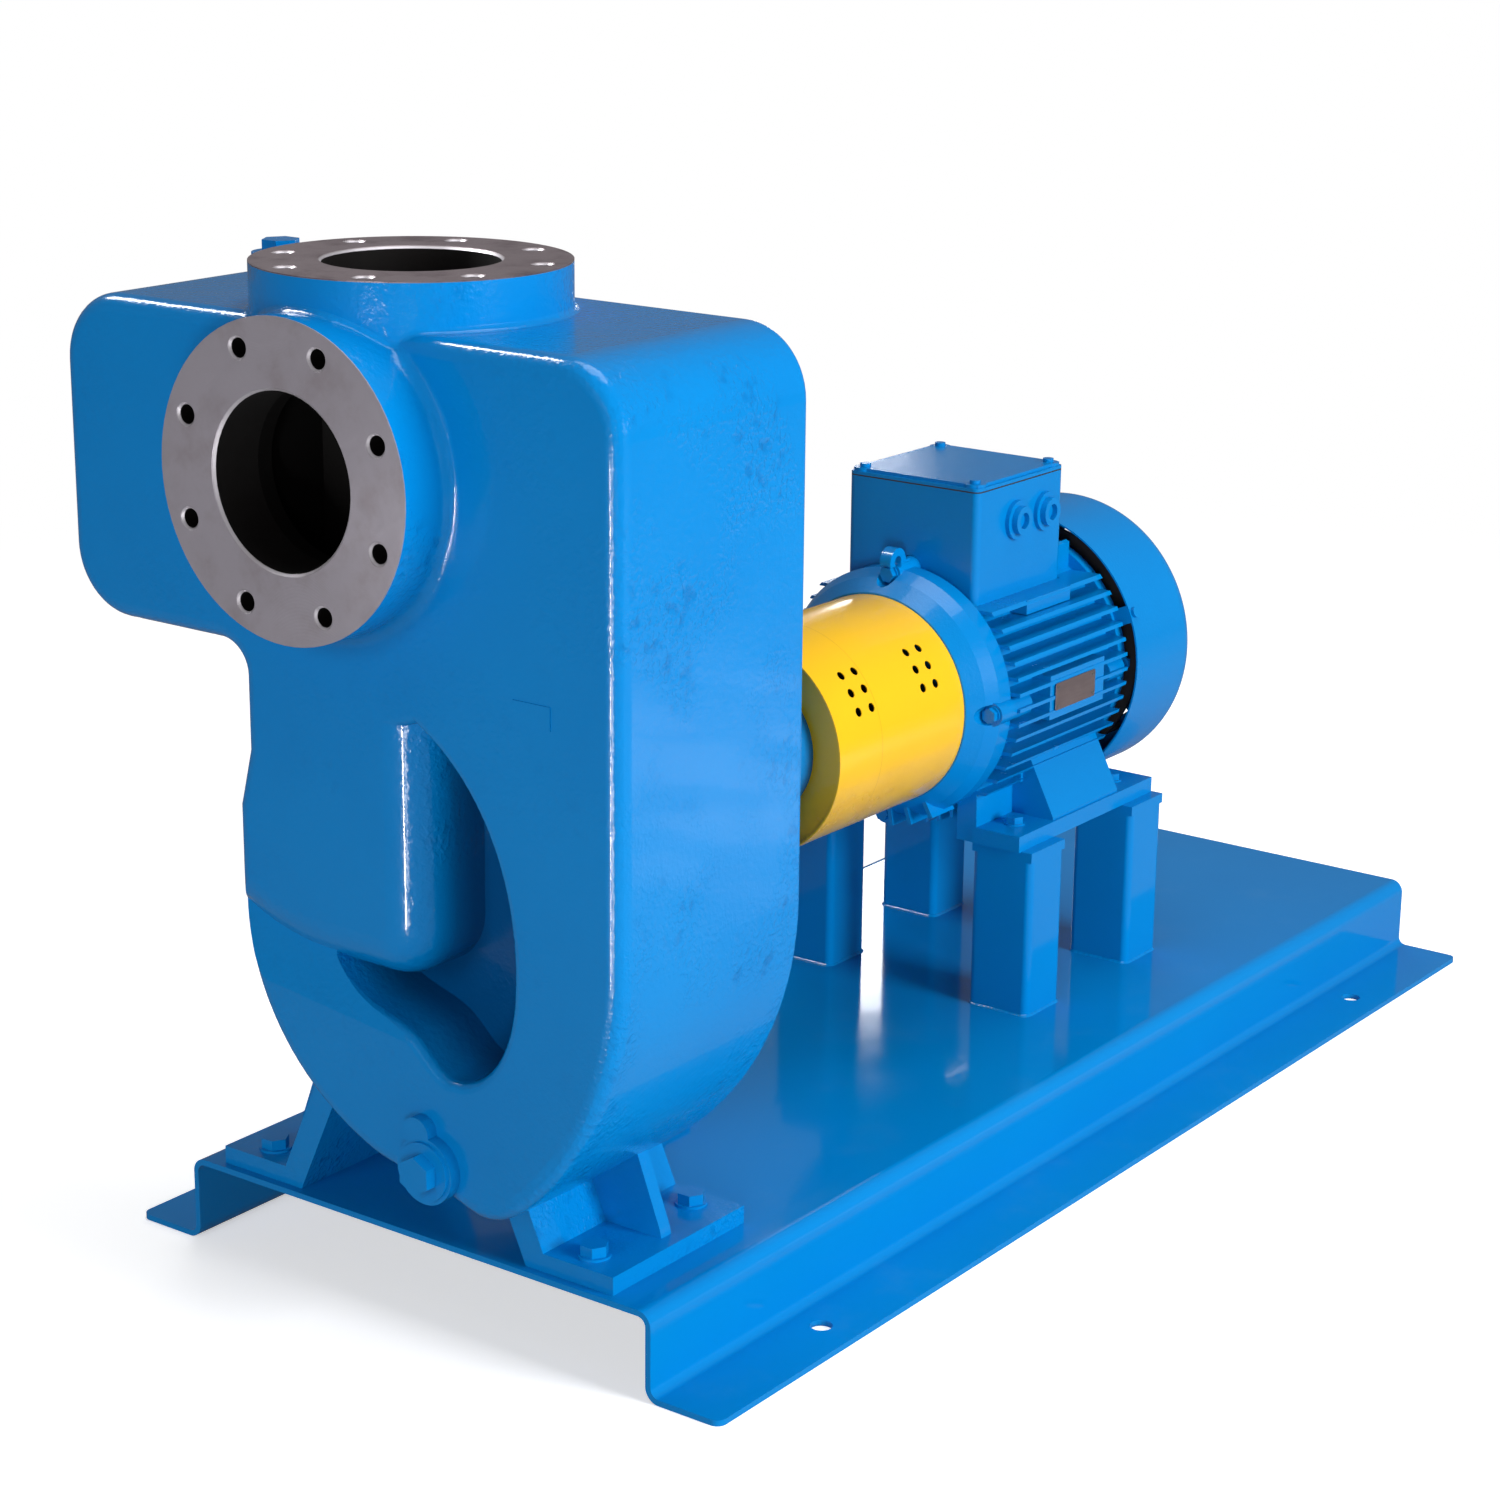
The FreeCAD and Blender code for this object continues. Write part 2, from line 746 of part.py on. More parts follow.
def casing_foot():
    # One cast foot: sole plate, long inner wall and a middle rib.
    y0 = foot_front_y
    y1 = foot_front_y + foot_length
    plate_top = base_top + foot_plate
    plate = block(foot_inner_x, foot_outer_x, y0, y1, base_top, plate_top)
    wall_x = foot_inner_x - foot_wall_lean
    wall_top = shaft_z - foot_wall_drop
    wall_profile = [(foot_inner_x, base_top), (foot_inner_x + foot_web + 8, base_top),
                    (foot_inner_x + foot_web + 6, plate_top), (wall_x + foot_wall_top, wall_top),
                    (wall_x, wall_top)]
    points = [V(x, y0, z) for x, z in wall_profile]
    wall = Part.Face(Part.makePolygon(points + points[:1])).extrude(V(0, y1 - y0, 0))
    middle = (y0 + y1) / 2
    rib_profile = [(foot_inner_x + foot_web, plate_top - 1), (foot_outer_x - foot_rib_inset, plate_top - 1),
                   (foot_outer_x - foot_rib_inset - 2, plate_top + 8),
                   (foot_inner_x + foot_web + 4, shaft_z - foot_rib_drop),
                   (wall_x + foot_web, wall_top)]
    points = [V(x, middle - foot_web / 2, z) for x, z in rib_profile]
    rib = Part.Face(Part.makePolygon(points + points[:1])).extrude(V(0, foot_web, 0))
    return joined([plate, wall, rib])


def is_boss_root(edge, level_y, level_z):
    # True on the circle where a flange boss leaves the plane at that y or that z.
    if edge.Curve.TypeId != "Part::GeomCircle" or abs(edge.Curve.Radius - flange_od / 2) > 0.01:
        return False
    if level_z is None:
        return lies_on_y(edge, level_y)
    box = edge.BoundBox
    return abs(box.ZMin - level_z) < 0.01 and abs(box.ZMax - level_z) < 0.01


def make_casing():
    shell = casing_shell().cut(pocket_cutter())
    rim = edges_where(shell, lambda e: lies_on_y(e, casing_front_y)
                      and e.BoundBox.XMin > pocket_end[0] - 2 and e.BoundBox.XMax < pocket_side[0] + 2
                      and e.BoundBox.ZMax < shaft_z + pocket_tip[1] + 1
                      and e.BoundBox.ZMin > shaft_z + pocket_toe[1] - 4)
    shell = shell.makeFillet(pocket_rim_round, rim)
    shell = shell.cut(front_hollow().cut(bulge_form()))
    suction_centre = V(0, suction_face_y, suction_z)
    discharge_centre = V(0, discharge_y, discharge_z)
    suction_boss = flange_boss(suction_centre, V(0, -1, 0), suction_reach + 10)
    discharge_boss = flange_boss(discharge_centre, Z, discharge_height + 10)
    drain_boss = rod_y(drain_boss_r, casing_front_y - drain_boss_height, casing_front_y + 40,
                       drain_x, shaft_z - drain_drop)
    drain_lug = rod_y(drain_lug_r, casing_front_y - drain_boss_height, casing_front_y + 40,
                      drain_x - 10, shaft_z - drain_drop + drain_lug_rise)
    pad_x, pad_rise, pad_width, pad_height = mark_pad
    pad = block(pad_x, pad_x + pad_width, casing_front_y - mark_pad_height, casing_front_y + 1,
                shaft_z + pad_rise, shaft_z + pad_rise + pad_height)
    filler_boss = rod_z(filler_boss_r, casing_top - 10, casing_top + filler_boss_height, filler_x, filler_y)
    foot = casing_foot()
    body = joined([shell, suction_bulge(), suction_boss, discharge_boss, drain_boss, drain_lug, pad,
                   filler_boss, foot, mirrored_x(foot)])
    for level_y, level_z, size in ((casing_front_y, None, front_boss_round),
                                   (None, casing_top, top_boss_round)):
        roots = edges_where(body, lambda e: is_boss_root(e, level_y, level_z))
        body = body.makeFillet(size, roots)
    body = body.cut(suction_channel())
    body = body.cut(discharge_chambers())
    body = body.cut(flange_drilling(suction_centre, V(0, -1, 0), X))
    body = body.cut(flange_drilling(discharge_centre, Z, X))
    opening = rod_y(cover_spigot_r, volute_rear_y - 1, casing_rear_y + 1)
    drain_hole = rod_y(plug_thread_r, casing_front_y - drain_boss_height - 1, casing_front_y + 34,
                       drain_x, shaft_z - drain_drop)
    filler_hole = rod_z(plug_thread_r, casing_top - casing_wall - 1, casing_top + filler_boss_height + 1,
                        filler_x, filler_y)
    holes = [opening, drain_hole, filler_hole]
    for x, y in casing_bolt_places():
        holes.append(rod_z(foot_bolt_d / 2 + bolt_gap, base_top - 1, base_top + foot_plate + 1, x, y))
    cover_hole = rod_y(cover_bolt_d / 2, casing_rear_y - casing_wall + 2, casing_rear_y + 1,
                       cover_bolt_pcd / 2)
    holes += ring_of(cover_hole, cover_bolts, 180.0 / cover_bolts)
    return body.cut(Part.makeCompound(holes))


# Plugs, wear plate and casing cover
def plug(base, direction, depth):
    head = hexagon(plug_hex, plug_head, base, direction)
    collar = Part.makeCylinder(plug_flange_r, 3.0, base, direction)
    thread = Part.makeCylinder(plug_thread_r - thread_gap, depth, base - direction * depth, direction)
    return joined([head, collar, thread])


def make_drain_plug():
    seat = V(drain_x, casing_front_y - drain_boss_height, shaft_z - drain_drop)
    return plug(seat, V(0, -1, 0), 30.0)


def make_filler_plug():
    seat = V(filler_x, filler_y, casing_top + filler_boss_height)
    return plug(seat, Z, 24.0)


def make_wear_plate():
    return ring_y(impeller_r + 7, eye_r, volute_front_y, volute_front_y + wear_plate)


def make_cover():
    # Dished cover: its spigot fills the casing's rear opening, its hub holds the shaft seal.
    spigot = cover_spigot_r - fit_gap
    rim = spigot - 14
    front = volute_rear_y
    hub_r = seal_chamber_r + 14
    cover = turned_y([
        (seal_neck_r, front), (spigot, front), (spigot, casing_rear_y),
        (cover_flange_r, casing_rear_y), (cover_flange_r, cover_face_y), (rim, cover_face_y),
        (rim, front + cover_plate), (hub_r, front + cover_plate), (hub_r, cover_face_y),
        (seal_chamber_r, cover_face_y), (seal_chamber_r, front + cover_plate),
        (seal_neck_r, front + cover_plate),
    ])
    through = rod_y(cover_bolt_d / 2 + bolt_gap, casing_rear_y - 1, cover_face_y + 1, cover_bolt_pcd / 2)
    tapped = rod_y(gland_bolt_d / 2, cover_face_y - 16, cover_face_y + 1, gland_bolt_r)
    holes = ring_of(through, cover_bolts, 180.0 / cover_bolts) + ring_of(tapped, 4, 45.0)
    return cover.cut(Part.makeCompound(holes))


def make_cover_bolts():
    seat = bracket_face_y
    length = bracket_flange + cover_flange + casing_wall - 4
    one = bolt(cover_bolt_d, length, V(cover_bolt_pcd / 2, seat, shaft_z), Y)
    return Part.makeCompound(ring_of(one, cover_bolts, 180.0 / cover_bolts))


def make_seal_gland():
    gland = ring_y(seal_gland_r, seal_neck_r, cover_face_y, cover_face_y + seal_gland)
    hole = rod_y(gland_bolt_d / 2 + bolt_gap, cover_face_y - 1, cover_face_y + seal_gland + 1, gland_bolt_r)
    return gland.cut(Part.makeCompound(ring_of(hole, 4, 45.0)))


def make_gland_bolts():
    one = bolt(gland_bolt_d, seal_gland + 14, V(gland_bolt_r, cover_face_y + seal_gland, shaft_z), Y)
    return Part.makeCompound(ring_of(one, 4, 45.0))


def make_seal_seat():
    return ring_y(seal_chamber_r - fit_gap, seal_neck_r, cover_face_y - seal_seat, cover_face_y)


def make_seal_ring():
    front = volute_rear_y + cover_plate + 5
    return ring_y(seal_ring_r, sleeve_r + fit_gap, front, cover_face_y - seal_seat - soft_gap)


# Impeller and pump shaft
def blade_profile(y):
    # Backward-swept blade: its angle falls with the logarithm of the radius.
    steps = 7
    centre = []
    for step in range(steps + 1):
        radius = blade_root_r * (impeller_r / blade_root_r) ** (step / steps)
        centre.append(polar(radius, -blade_wrap * step / steps))
    left, right = [], []
    for index, (x, z) in enumerate(centre):
        before = centre[max(index - 1, 0)]
        after = centre[min(index + 1, steps)]
        along = V(after[0] - before[0], 0, after[1] - before[1]).normalize()
        across = V(-along.z, 0, along.x) * (blade_thickness / 2)
        left.append(V(x, y, z) + across)
        right.append(V(x, y, z) - across)
    sides = []
    for points in (left, right):
        curve = Part.BSplineCurve()
        curve.interpolate(Points=points)
        sides.append(curve.toShape())
    ends = [Part.LineSegment(left[0], right[0]).toShape(), Part.LineSegment(left[-1], right[-1]).toShape()]
    return Part.Face(Part.Wire(Part.__sortEdges__(sides + ends)))


def make_impeller():
    shroud_rear = volute_rear_y - shroud_back_gap
    shroud_front = shroud_rear - shroud_thickness
    tip_y = volute_front_y + wear_plate + wear_gap
    disc = rod_y(impeller_r, shroud_front, shroud_rear)
    hub = rod_y(impeller_hub_r, impeller_front_y, shroud_rear)
    blade = blade_profile(tip_y).extrude(V(0, shroud_front - tip_y + 1, 0))
    trim = ring_y(impeller_r + 20, impeller_r, tip_y - 1, shroud_rear + 1)
    blades = [spun(blade, full_turn * step / blade_count) for step in range(blade_count)]
    body = joined([disc, hub] + blades).cut(trim)
    return body.cut(rod_y(shaft_hub_r + fit_gap, impeller_front_y - 1, shroud_rear + 1))


def make_impeller_nut():
    # Rounded cap nut that carries the flow past the hub.
    y = impeller_front_y
    nose = turned_y([(0, y - 26), (10, y - 25), (18, y - 19), (24, y - 8), (26, y), (0, y)])
    return nose.cut(rod_y(impeller_stud_r + fit_gap, y - 16, y + 1))


def make_pump_shaft():
    y_hub = impeller_front_y
    y_sleeve = volute_rear_y - shroud_back_gap
    shaft = turned_y([
        (0, y_hub - 15), (impeller_stud_r, y_hub - 15), (impeller_stud_r, y_hub), (shaft_hub_r, y_hub),
        (shaft_hub_r, y_sleeve), (pump_bearing_bore_r, y_sleeve), (pump_bearing_bore_r, front_bearing_y),
        (pump_bearing_bore_r, front_bearing_y + pump_bearing_width),
        (shaft_shoulder_r, front_bearing_y + pump_bearing_width), (shaft_shoulder_r, rear_bearing_y),
        (pump_bearing_bore_r, rear_bearing_y), (pump_bearing_bore_r, housing_end_y - 3),
        (shaft_drive_r, housing_end_y - 3), (shaft_drive_r, pump_shaft_end_y), (0, pump_shaft_end_y),
    ])
    return shaft.cut(key_block(shaft_drive_r, pump_hub_y + 8, pump_shaft_end_y - 6))


def key_block(shaft_r, y0, y1):
    return block(-key_width / 2, key_width / 2, y0, y1, shaft_z + shaft_r - 5, shaft_z + shaft_r + 3)


def make_sleeve():
    return ring_y(sleeve_r, pump_bearing_bore_r + fit_gap, volute_rear_y - shroud_back_gap, sleeve_end_y)


def bearing_rings(y0, width, bore, outer):
    # A sealed ball bearing: outer ring with its two shields, inner ring, and the balls between.
    wall = (outer - bore) * 0.28
    race_in = bore + wall
    race_out = outer - wall
    fixed = ring_y(outer - fit_gap, race_out, y0, y0 + width)
    shields = [ring_y(race_out, race_in + soft_gap, y, y + 1) for y in (y0 + 1, y0 + width - 2)]
    ball_r = (race_out - race_in) / 2 - soft_gap / 2
    ball = Part.makeSphere(ball_r, V((race_in + race_out) / 2, y0 + width / 2, shaft_z))
    turning = ring_y(race_in, bore + fit_gap, y0, y0 + width)
    return joined([fixed] + shields), turning, ring_of(ball, bearing_balls)


# Bearing bracket, cap and support
def make_bracket():
    y0 = cover_face_y
    y1 = bracket_face_y
    rim = cover_spigot_r - 14
    bore = pump_bearing_r
    body = turned_y([
        (rim, y0), (cover_flange_r, y0), (cover_flange_r, y1), (rim + 14, y1),
        (housing_r + 8, lantern_end_y), (housing_r, lantern_end_y + 12),
        (housing_r, housing_end_y - housing_flange),
        (housing_flange_r, housing_end_y - housing_flange), (housing_flange_r, housing_end_y),
        (bore, housing_end_y), (bore, rear_bearing_y - 4), (bore + 6, rear_bearing_y - 4),
        (bore + 6, front_bearing_y + pump_bearing_width + 4),
        (bore, front_bearing_y + pump_bearing_width + 4),
        (bore, front_bearing_y), (lip_seal_r, front_bearing_y), (lip_seal_r, lantern_end_y - 14),
        (housing_r - 6, lantern_end_y - 14), (rim, y1 + 3),
    ])
    pad_low = shaft_z - support_pad_drop
    pad = block(-support_pad_half, support_pad_half, support_y - support_pad_reach,
                support_y + support_pad_reach, pad_low, shaft_z - bore - 8)
    pad = pad.cut(rod_y(bore + 10, support_y - 40, support_y + 40))
    filler = rod_z(15.0, shaft_z + housing_r - 6, shaft_z + housing_r + 7, 0.0, oil_plug_y)
    glass_boss = rod_x(19.0, housing_r - 6, housing_r + 7, oil_plug_y, shaft_z)
    ribs = [spun(block(housing_r - 4, housing_r + 12, lantern_end_y, housing_end_y - housing_flange + 2,
                       shaft_z - 4, shaft_z + 4), angle) for angle in (45, 135, 225, 315)]
    body = joined([body, pad, filler, glass_boss] + ribs)
    window = block(housing_r, cover_flange_r + 5, y1 + 9, lantern_end_y - 22,
                   shaft_z - lantern_window_half, shaft_z + lantern_window_half)
    holes = [window, mirrored_x(window)]
    cover_hole = rod_y(cover_bolt_d / 2 + bolt_gap, y0 - 1, y1 + 1, cover_bolt_pcd / 2)
    holes += ring_of(cover_hole, cover_bolts, 180.0 / cover_bolts)
    holes += ring_of(rod_y(cap_bolt_d / 2, housing_end_y - 15, housing_end_y + 1, cap_bolt_pcd / 2), 4, 45.0)
    holes.append(rod_z(oil_plug_r, shaft_z + bore, shaft_z + housing_r + 8, 0.0, oil_plug_y))
    holes.append(rod_x(oil_glass_r, bore, housing_r + 8, oil_plug_y, shaft_z))
    for side in (-1, 1):
        holes.append(rod_z(support_bolt_d / 2, pad_low - 1, pad_low + 14, side * support_bolt_x, support_y))
    return body.cut(Part.makeCompound(holes))


def make_bearing_cap():
    y0 = housing_end_y
    y1 = housing_end_y + bearing_cap
    cap = turned_y([
        (shaft_drive_r + 2, y0 - 3), (pump_bearing_r - fit_gap, y0 - 3), (pump_bearing_r - fit_gap, y0),
        (housing_flange_r, y0), (housing_flange_r, y1), (lip_seal_r + 3, y1),
        (lip_seal_r + 3, y1 - 10), (shaft_drive_r + 2, y1 - 10),
    ])
    hole = rod_y(cap_bolt_d / 2 + bolt_gap, y0 - 1, y1 + 1, cap_bolt_pcd / 2)
    return cap.cut(Part.makeCompound(ring_of(hole, 4, 45.0)))


def make_cap_bolts():
    seat = housing_end_y + bearing_cap + guard_plate
    one = bolt(cap_bolt_d, guard_plate + bearing_cap + 13, V(cap_bolt_pcd / 2, seat, shaft_z), Y)
    return Part.makeCompound(ring_of(one, 4, 45.0))


def make_lip_seals():
    y1 = housing_end_y + bearing_cap
    front = ring_y(lip_seal_r - fit_gap, pump_bearing_bore_r + soft_gap, lantern_end_y - 10, lantern_end_y)
    rear = ring_y(lip_seal_r + 3 - fit_gap, shaft_drive_r + soft_gap, y1 - 10, y1 - 1)
    return Part.makeCompound([front, rear])


def make_oil_plug():
    base = V(0, oil_plug_y, shaft_z + housing_r + 7)
    head = hexagon(22.0, 9.0, base, Z)
    collar = Part.makeCylinder(13.0, 2.5, base, Z)
    thread = Part.makeCylinder(oil_plug_r - thread_gap, 12.0, base - Z * 12.0, Z)
    return joined([head, collar, thread])


def make_oil_glass():
    rim = rod_x(16.0, housing_r + 7, housing_r + 11, oil_plug_y, shaft_z)
    lens = rod_x(oil_glass_r - thread_gap, housing_r - 5, housing_r + 9, oil_plug_y, shaft_z)
    eye = rod_x(oil_glass_r - 3, housing_r + 9, housing_r + 12, oil_plug_y, shaft_z)
    return joined([rim, lens]).cut(eye)


def make_support():
    half = support_width / 2
    foot = block(-half, half, support_y - support_foot_length / 2, support_y + support_foot_length / 2,
                 base_top, base_top + support_plate)
    top = shaft_z - support_pad_drop
    head = block(-support_pad_half, support_pad_half, support_y - support_pad_reach,
                 support_y + support_pad_reach, top - support_plate, top)
    points = [V(x, support_y - support_web / 2, z) for x, z in (
        (-half + support_web_inset, base_top + support_plate),
               (half - support_web_inset, base_top + support_plate),
        (support_web_top, top - support_plate), (-support_web_top, top - support_plate))]
    web = Part.Face(Part.makePolygon(points + points[:1])).extrude(V(0, support_web, 0))
    rib = block(-support_web / 2, support_web / 2, support_y - 24, support_y + 24,
                base_top + support_plate, top - support_plate)
    body = joined([foot, head, web, rib])
    holes = []
    for x, y in support_bolt_places():
        holes.append(rod_z(support_bolt_d / 2 + bolt_gap, base_top - 1, base_top + support_plate + 1, x, y))
    for side in (-1, 1):
        holes.append(rod_z(support_bolt_d / 2 + bolt_gap, top - support_plate - 1, top + 1,
                           side * support_bolt_x, support_y))
    return body.cut(Part.makeCompound(holes))


def nut(diameter, x, y):
    body = hexagon(1.5 * diameter, 0.8 * diameter, V(x, y, base_top - base_sheet), V(0, 0, -1))
    return body.cut(rod_z(diameter / 2, base_top - base_sheet - 2 * diameter, base_top, x, y))


def make_support_bolts():
    parts = []
    for x, y in support_bolt_places():
        length = support_plate + base_sheet + support_bolt_d
        parts.append(bolt(support_bolt_d, length, V(x, y, base_top + support_plate), Z))
        parts.append(nut(support_bolt_d, x, y))
    under = shaft_z - support_pad_drop - support_plate
    for side in (-1, 1):
        parts.append(bolt(support_bolt_d, support_plate + 12, V(side * support_bolt_x, support_y, under),
                          V(0, 0, -1)))
    return Part.makeCompound(parts)


def make_foot_bolts():
    length = foot_plate + base_sheet + foot_bolt_d
    parts = []
    for x, y in casing_bolt_places():
        parts.append(bolt(foot_bolt_d, length, V(x, y, base_top + foot_plate), Z))
        parts.append(nut(foot_bolt_d, x, y))
    return Part.makeCompound(parts)


# Jaw coupling
def sector(inner, outer, y0, y1, middle, width):
    # Part of a ring, cut along two radial planes.
    half = math.radians(width / 2)
    centre = math.radians(middle)
    reach = outer * 2
    corners = [V(0, y0, shaft_z)]
    for angle in (centre - half, centre + half):
        corners.append(V(reach * math.cos(angle), y0, shaft_z + reach * math.sin(angle)))
    wedge = Part.Face(Part.makePolygon(corners + corners[:1])).extrude(V(0, y1 - y0, 0))
    return ring_y(outer, inner, y0, y1).common(wedge)


def coupling_hub(y_body, y_jaw, y_end, shaft_r, first, key_y0, key_y1):
    low, high = min(y_body, y_jaw), max(y_body, y_jaw)
    body = rod_y(coupling_r, low, high)
    jaw_angle = 180.0 / jaw_count - spider_leg_angle
    jaws = [sector(jaw_inner_r, coupling_r, min(y_jaw, y_end), max(y_jaw, y_end),
                   first + full_turn * i / jaw_count, jaw_angle) for i in range(jaw_count)]
    hub = joined([body] + jaws)
    hub = hub.cut(rod_y(shaft_r + fit_gap, low - 1, high + 1))
    return hub.cut(key_block(shaft_r, key_y0, key_y1))


def make_pump_hub():
    jaw_y = spider_y
    return coupling_hub(pump_hub_y, jaw_y, jaw_y + jaw_length - soft_gap, shaft_drive_r, 0.0,
                        pump_hub_y - 1, jaw_y)


def make_motor_hub():
    jaw_y = spider_y + jaw_length
    return coupling_hub(motor_hub_end_y, jaw_y, spider_y + soft_gap, motor_shaft_r, 180.0 / jaw_count,
                        jaw_y, motor_hub_end_y + 1)


def make_spider():
    # Rubber star whose legs fill the gaps between the jaws.
    inner = motor_shaft_r + 3
    core = ring_y(jaw_inner_r - soft_gap, inner, spider_y + soft_gap, spider_y + jaw_length - soft_gap)
    slack = math.degrees(2 * soft_gap / coupling_r)
    legs = []
    for step in range(2 * jaw_count):
        middle = full_turn * (step + 0.5) / (2 * jaw_count)
        legs.append(sector(jaw_inner_r - 2, coupling_r - 2, spider_y + soft_gap,
                           spider_y + jaw_length - soft_gap, middle, spider_leg_angle - 2 * slack))
    return joined([core] + legs)


# Coupling guard
def perforations():
    holes = []
    for side in (1, -1):
        for row in range(3):
            angle = guard_hole_first + guard_hole_step * row
            for y in guard_hole_ys():
                hole = rod_x(guard_hole_r, guard_r - 12, guard_r + 12, y, shaft_z)
                hole = spun(hole, angle)
                holes.append(hole if side > 0 else mirrored_x(hole))
    return Part.makeCompound(holes)


def guard_hole_ys():
    front = guard_front_y + guard_hole_inset
    rear = guard_seam_y + guard_hole_rear
    return (front, front + guard_hole_pitch, rear, rear + guard_hole_pitch)


def make_guard_front():
    inner = guard_r - guard_sheet
    shell = ring_y(guard_r, inner, guard_front_y, guard_seam_y)
    seam = block(-guard_sheet, guard_sheet, guard_front_y, guard_seam_y - 8,
                 shaft_z - guard_r - guard_flange_drop, shaft_z - inner - 0.5)
    return joined([shell, seam]).cut(perforations())


def make_guard_rear():
    inner = guard_r - guard_sheet
    shell = ring_y(guard_r, inner, guard_seam_y, guard_rear_y)
    strap = ring_y(inner, inner - guard_sheet, guard_seam_y, guard_seam_y + guard_strap)
    tongue = ring_y(inner - fit_gap, inner - guard_sheet, guard_seam_y - guard_strap, guard_seam_y)
    return joined([shell, strap, tongue]).cut(perforations())


def make_guard_plate():
    y0 = housing_end_y + bearing_cap
    plate = ring_y(guard_r - guard_sheet, shaft_drive_r + 12, y0, y0 + guard_plate)
    hole = rod_y(cap_bolt_d / 2 + bolt_gap, y0 - 1, y0 + guard_plate + 1, cap_bolt_pcd / 2)
    return plate.cut(Part.makeCompound(ring_of(hole, 4, 45.0)))


# Motor
def foot_bolt_ys():
    return (motor_hole_y, motor_hole_y + motor_foot_pitch_y)


def side_fins():
    fins = []
    for row in range(-fin_rows, fin_rows + 1):
        z = shaft_z + row * fin_pitch
        fins.append(block(-fin_tip_r, fin_tip_r, frame_start_y, frame_end_y,
                          z - fin_thickness / 2, z + fin_thickness / 2))
    return fins


def bottom_fins():
    fins = []
    for row in range(-bottom_fin_rows, bottom_fin_rows + 1):
        x = row * fin_pitch
        fins.append(block(x - fin_thickness / 2, x + fin_thickness / 2, frame_start_y, frame_end_y,
                          shaft_z - fin_tip_r, shaft_z))
        fins.append(block(x - fin_thickness / 2, x + fin_thickness / 2, box_end_y + 5, frame_end_y,
                          shaft_z, shaft_z + fin_tip_r))
    return fins


def motor_foot():
    # Sole plate, the leg up to the barrel and the sloping gusset between the bolts.
    hole_x = motor_foot_pitch_x / 2
    y0, y1 = foot_bolt_ys()
    x0 = hole_x - motor_foot_width / 2
    x1 = hole_x + motor_foot_width / 2
    top = motor_foot_z + motor_foot_plate
    plate = block(x0, x1, y0 - motor_foot_overhang, y1 + motor_foot_overhang, motor_foot_z, top)
    leg_points = [(x0 - 20, motor_foot_z), (x0 + 6, motor_foot_z), (x0 + 4, shaft_z - 83),
                  (x0 - 20, shaft_z - 105)]
    points = [V(x, frame_start_y, z) for x, z in leg_points]
    leg = Part.Face(Part.makePolygon(points + points[:1])).extrude(V(0, frame_length, 0))
    gusset_points = [(x0, top - 1), (x1 - 3, top - 1), (x1 - 3, top + 3), (x0 + 18, shaft_z - 58),
                     (x0, shaft_z - 83)]
    points = [V(x, y0 + gusset_inset, z) for x, z in gusset_points]
    depth = motor_foot_pitch_y - 2 * gusset_inset
    gusset = Part.Face(Part.makePolygon(points + points[:1])).extrude(V(0, depth, 0))
    foot = joined([plate, leg, gusset])
    holes = [rod_z(motor_foot_hole_r, motor_foot_z - 1, top + 1, hole_x, y) for y in (y0, y1)]
    return foot.cut(Part.makeCompound(holes))


def make_motor_frame():
    envelope = rod_y(fin_tip_r, frame_start_y, frame_end_y)
    skirt = block(-box_half_width, box_half_width, box_front_y - 1, box_end_y,
                  shaft_z + box_skirt_rise - 4, shaft_z + fin_tip_r + 1)
    fins = joined(side_fins() + bottom_fins()).common(envelope).cut(skirt)
    barrel = rod_y(barrel_r, frame_start_y, frame_end_y)
    foot = motor_foot()
    plate_pad = block(barrel_r - 8, fin_tip_r - 2, plate_pad_y, plate_pad_y + plate_pad_length,
                      shaft_z - plate_pad_height / 2, shaft_z + plate_pad_height / 2)
    board_pad = block(-board_half_x - 6, board_half_x + 6,
                      board_y - board_half_y - 5, board_y + board_half_y + 5,
                      shaft_z + barrel_r - 12, shaft_z + barrel_r + board_seat)
    lugs = ring_of(rod_y(shield_ear_r, frame_start_y, frame_start_y + 32, shield_bolt_pcd / 2), 4)
    lugs += ring_of(rod_y(shield_ear_r, frame_end_y - 32, frame_end_y, shield_bolt_pcd / 2), 4)
    rails = []
    for side in (-1, 1):
        rails.append(block(rail_x, rail_x + 22, rail_y, rail_y + rail_length,
                           shaft_z + side * rail_rise - 8, shaft_z + side * rail_rise + 8))
    rails += [mirrored_x(rail) for rail in rails]
    body = joined([barrel, fins, foot, mirrored_x(foot), plate_pad, board_pad] + lugs + rails)
    body = body.cut(rod_y(barrel_r - barrel_wall, frame_start_y - 1, frame_end_y + 1))
    holes = ring_of(rod_y(shield_bolt_d / 2, frame_start_y - 1, frame_start_y + 24, shield_bolt_pcd / 2), 4)
    holes += ring_of(rod_y(shield_bolt_d / 2, frame_end_y - 24, frame_end_y + 1, shield_bolt_pcd / 2), 4)
    holes.append(rod_z(lead_hole_r, shaft_z + barrel_r - 14, shaft_z + barrel_r + 5, 0.0,
                       board_y + board_half_y + 5 + 1.2 * lead_hole_r))
    return body.cut(Part.makeCompound(holes))


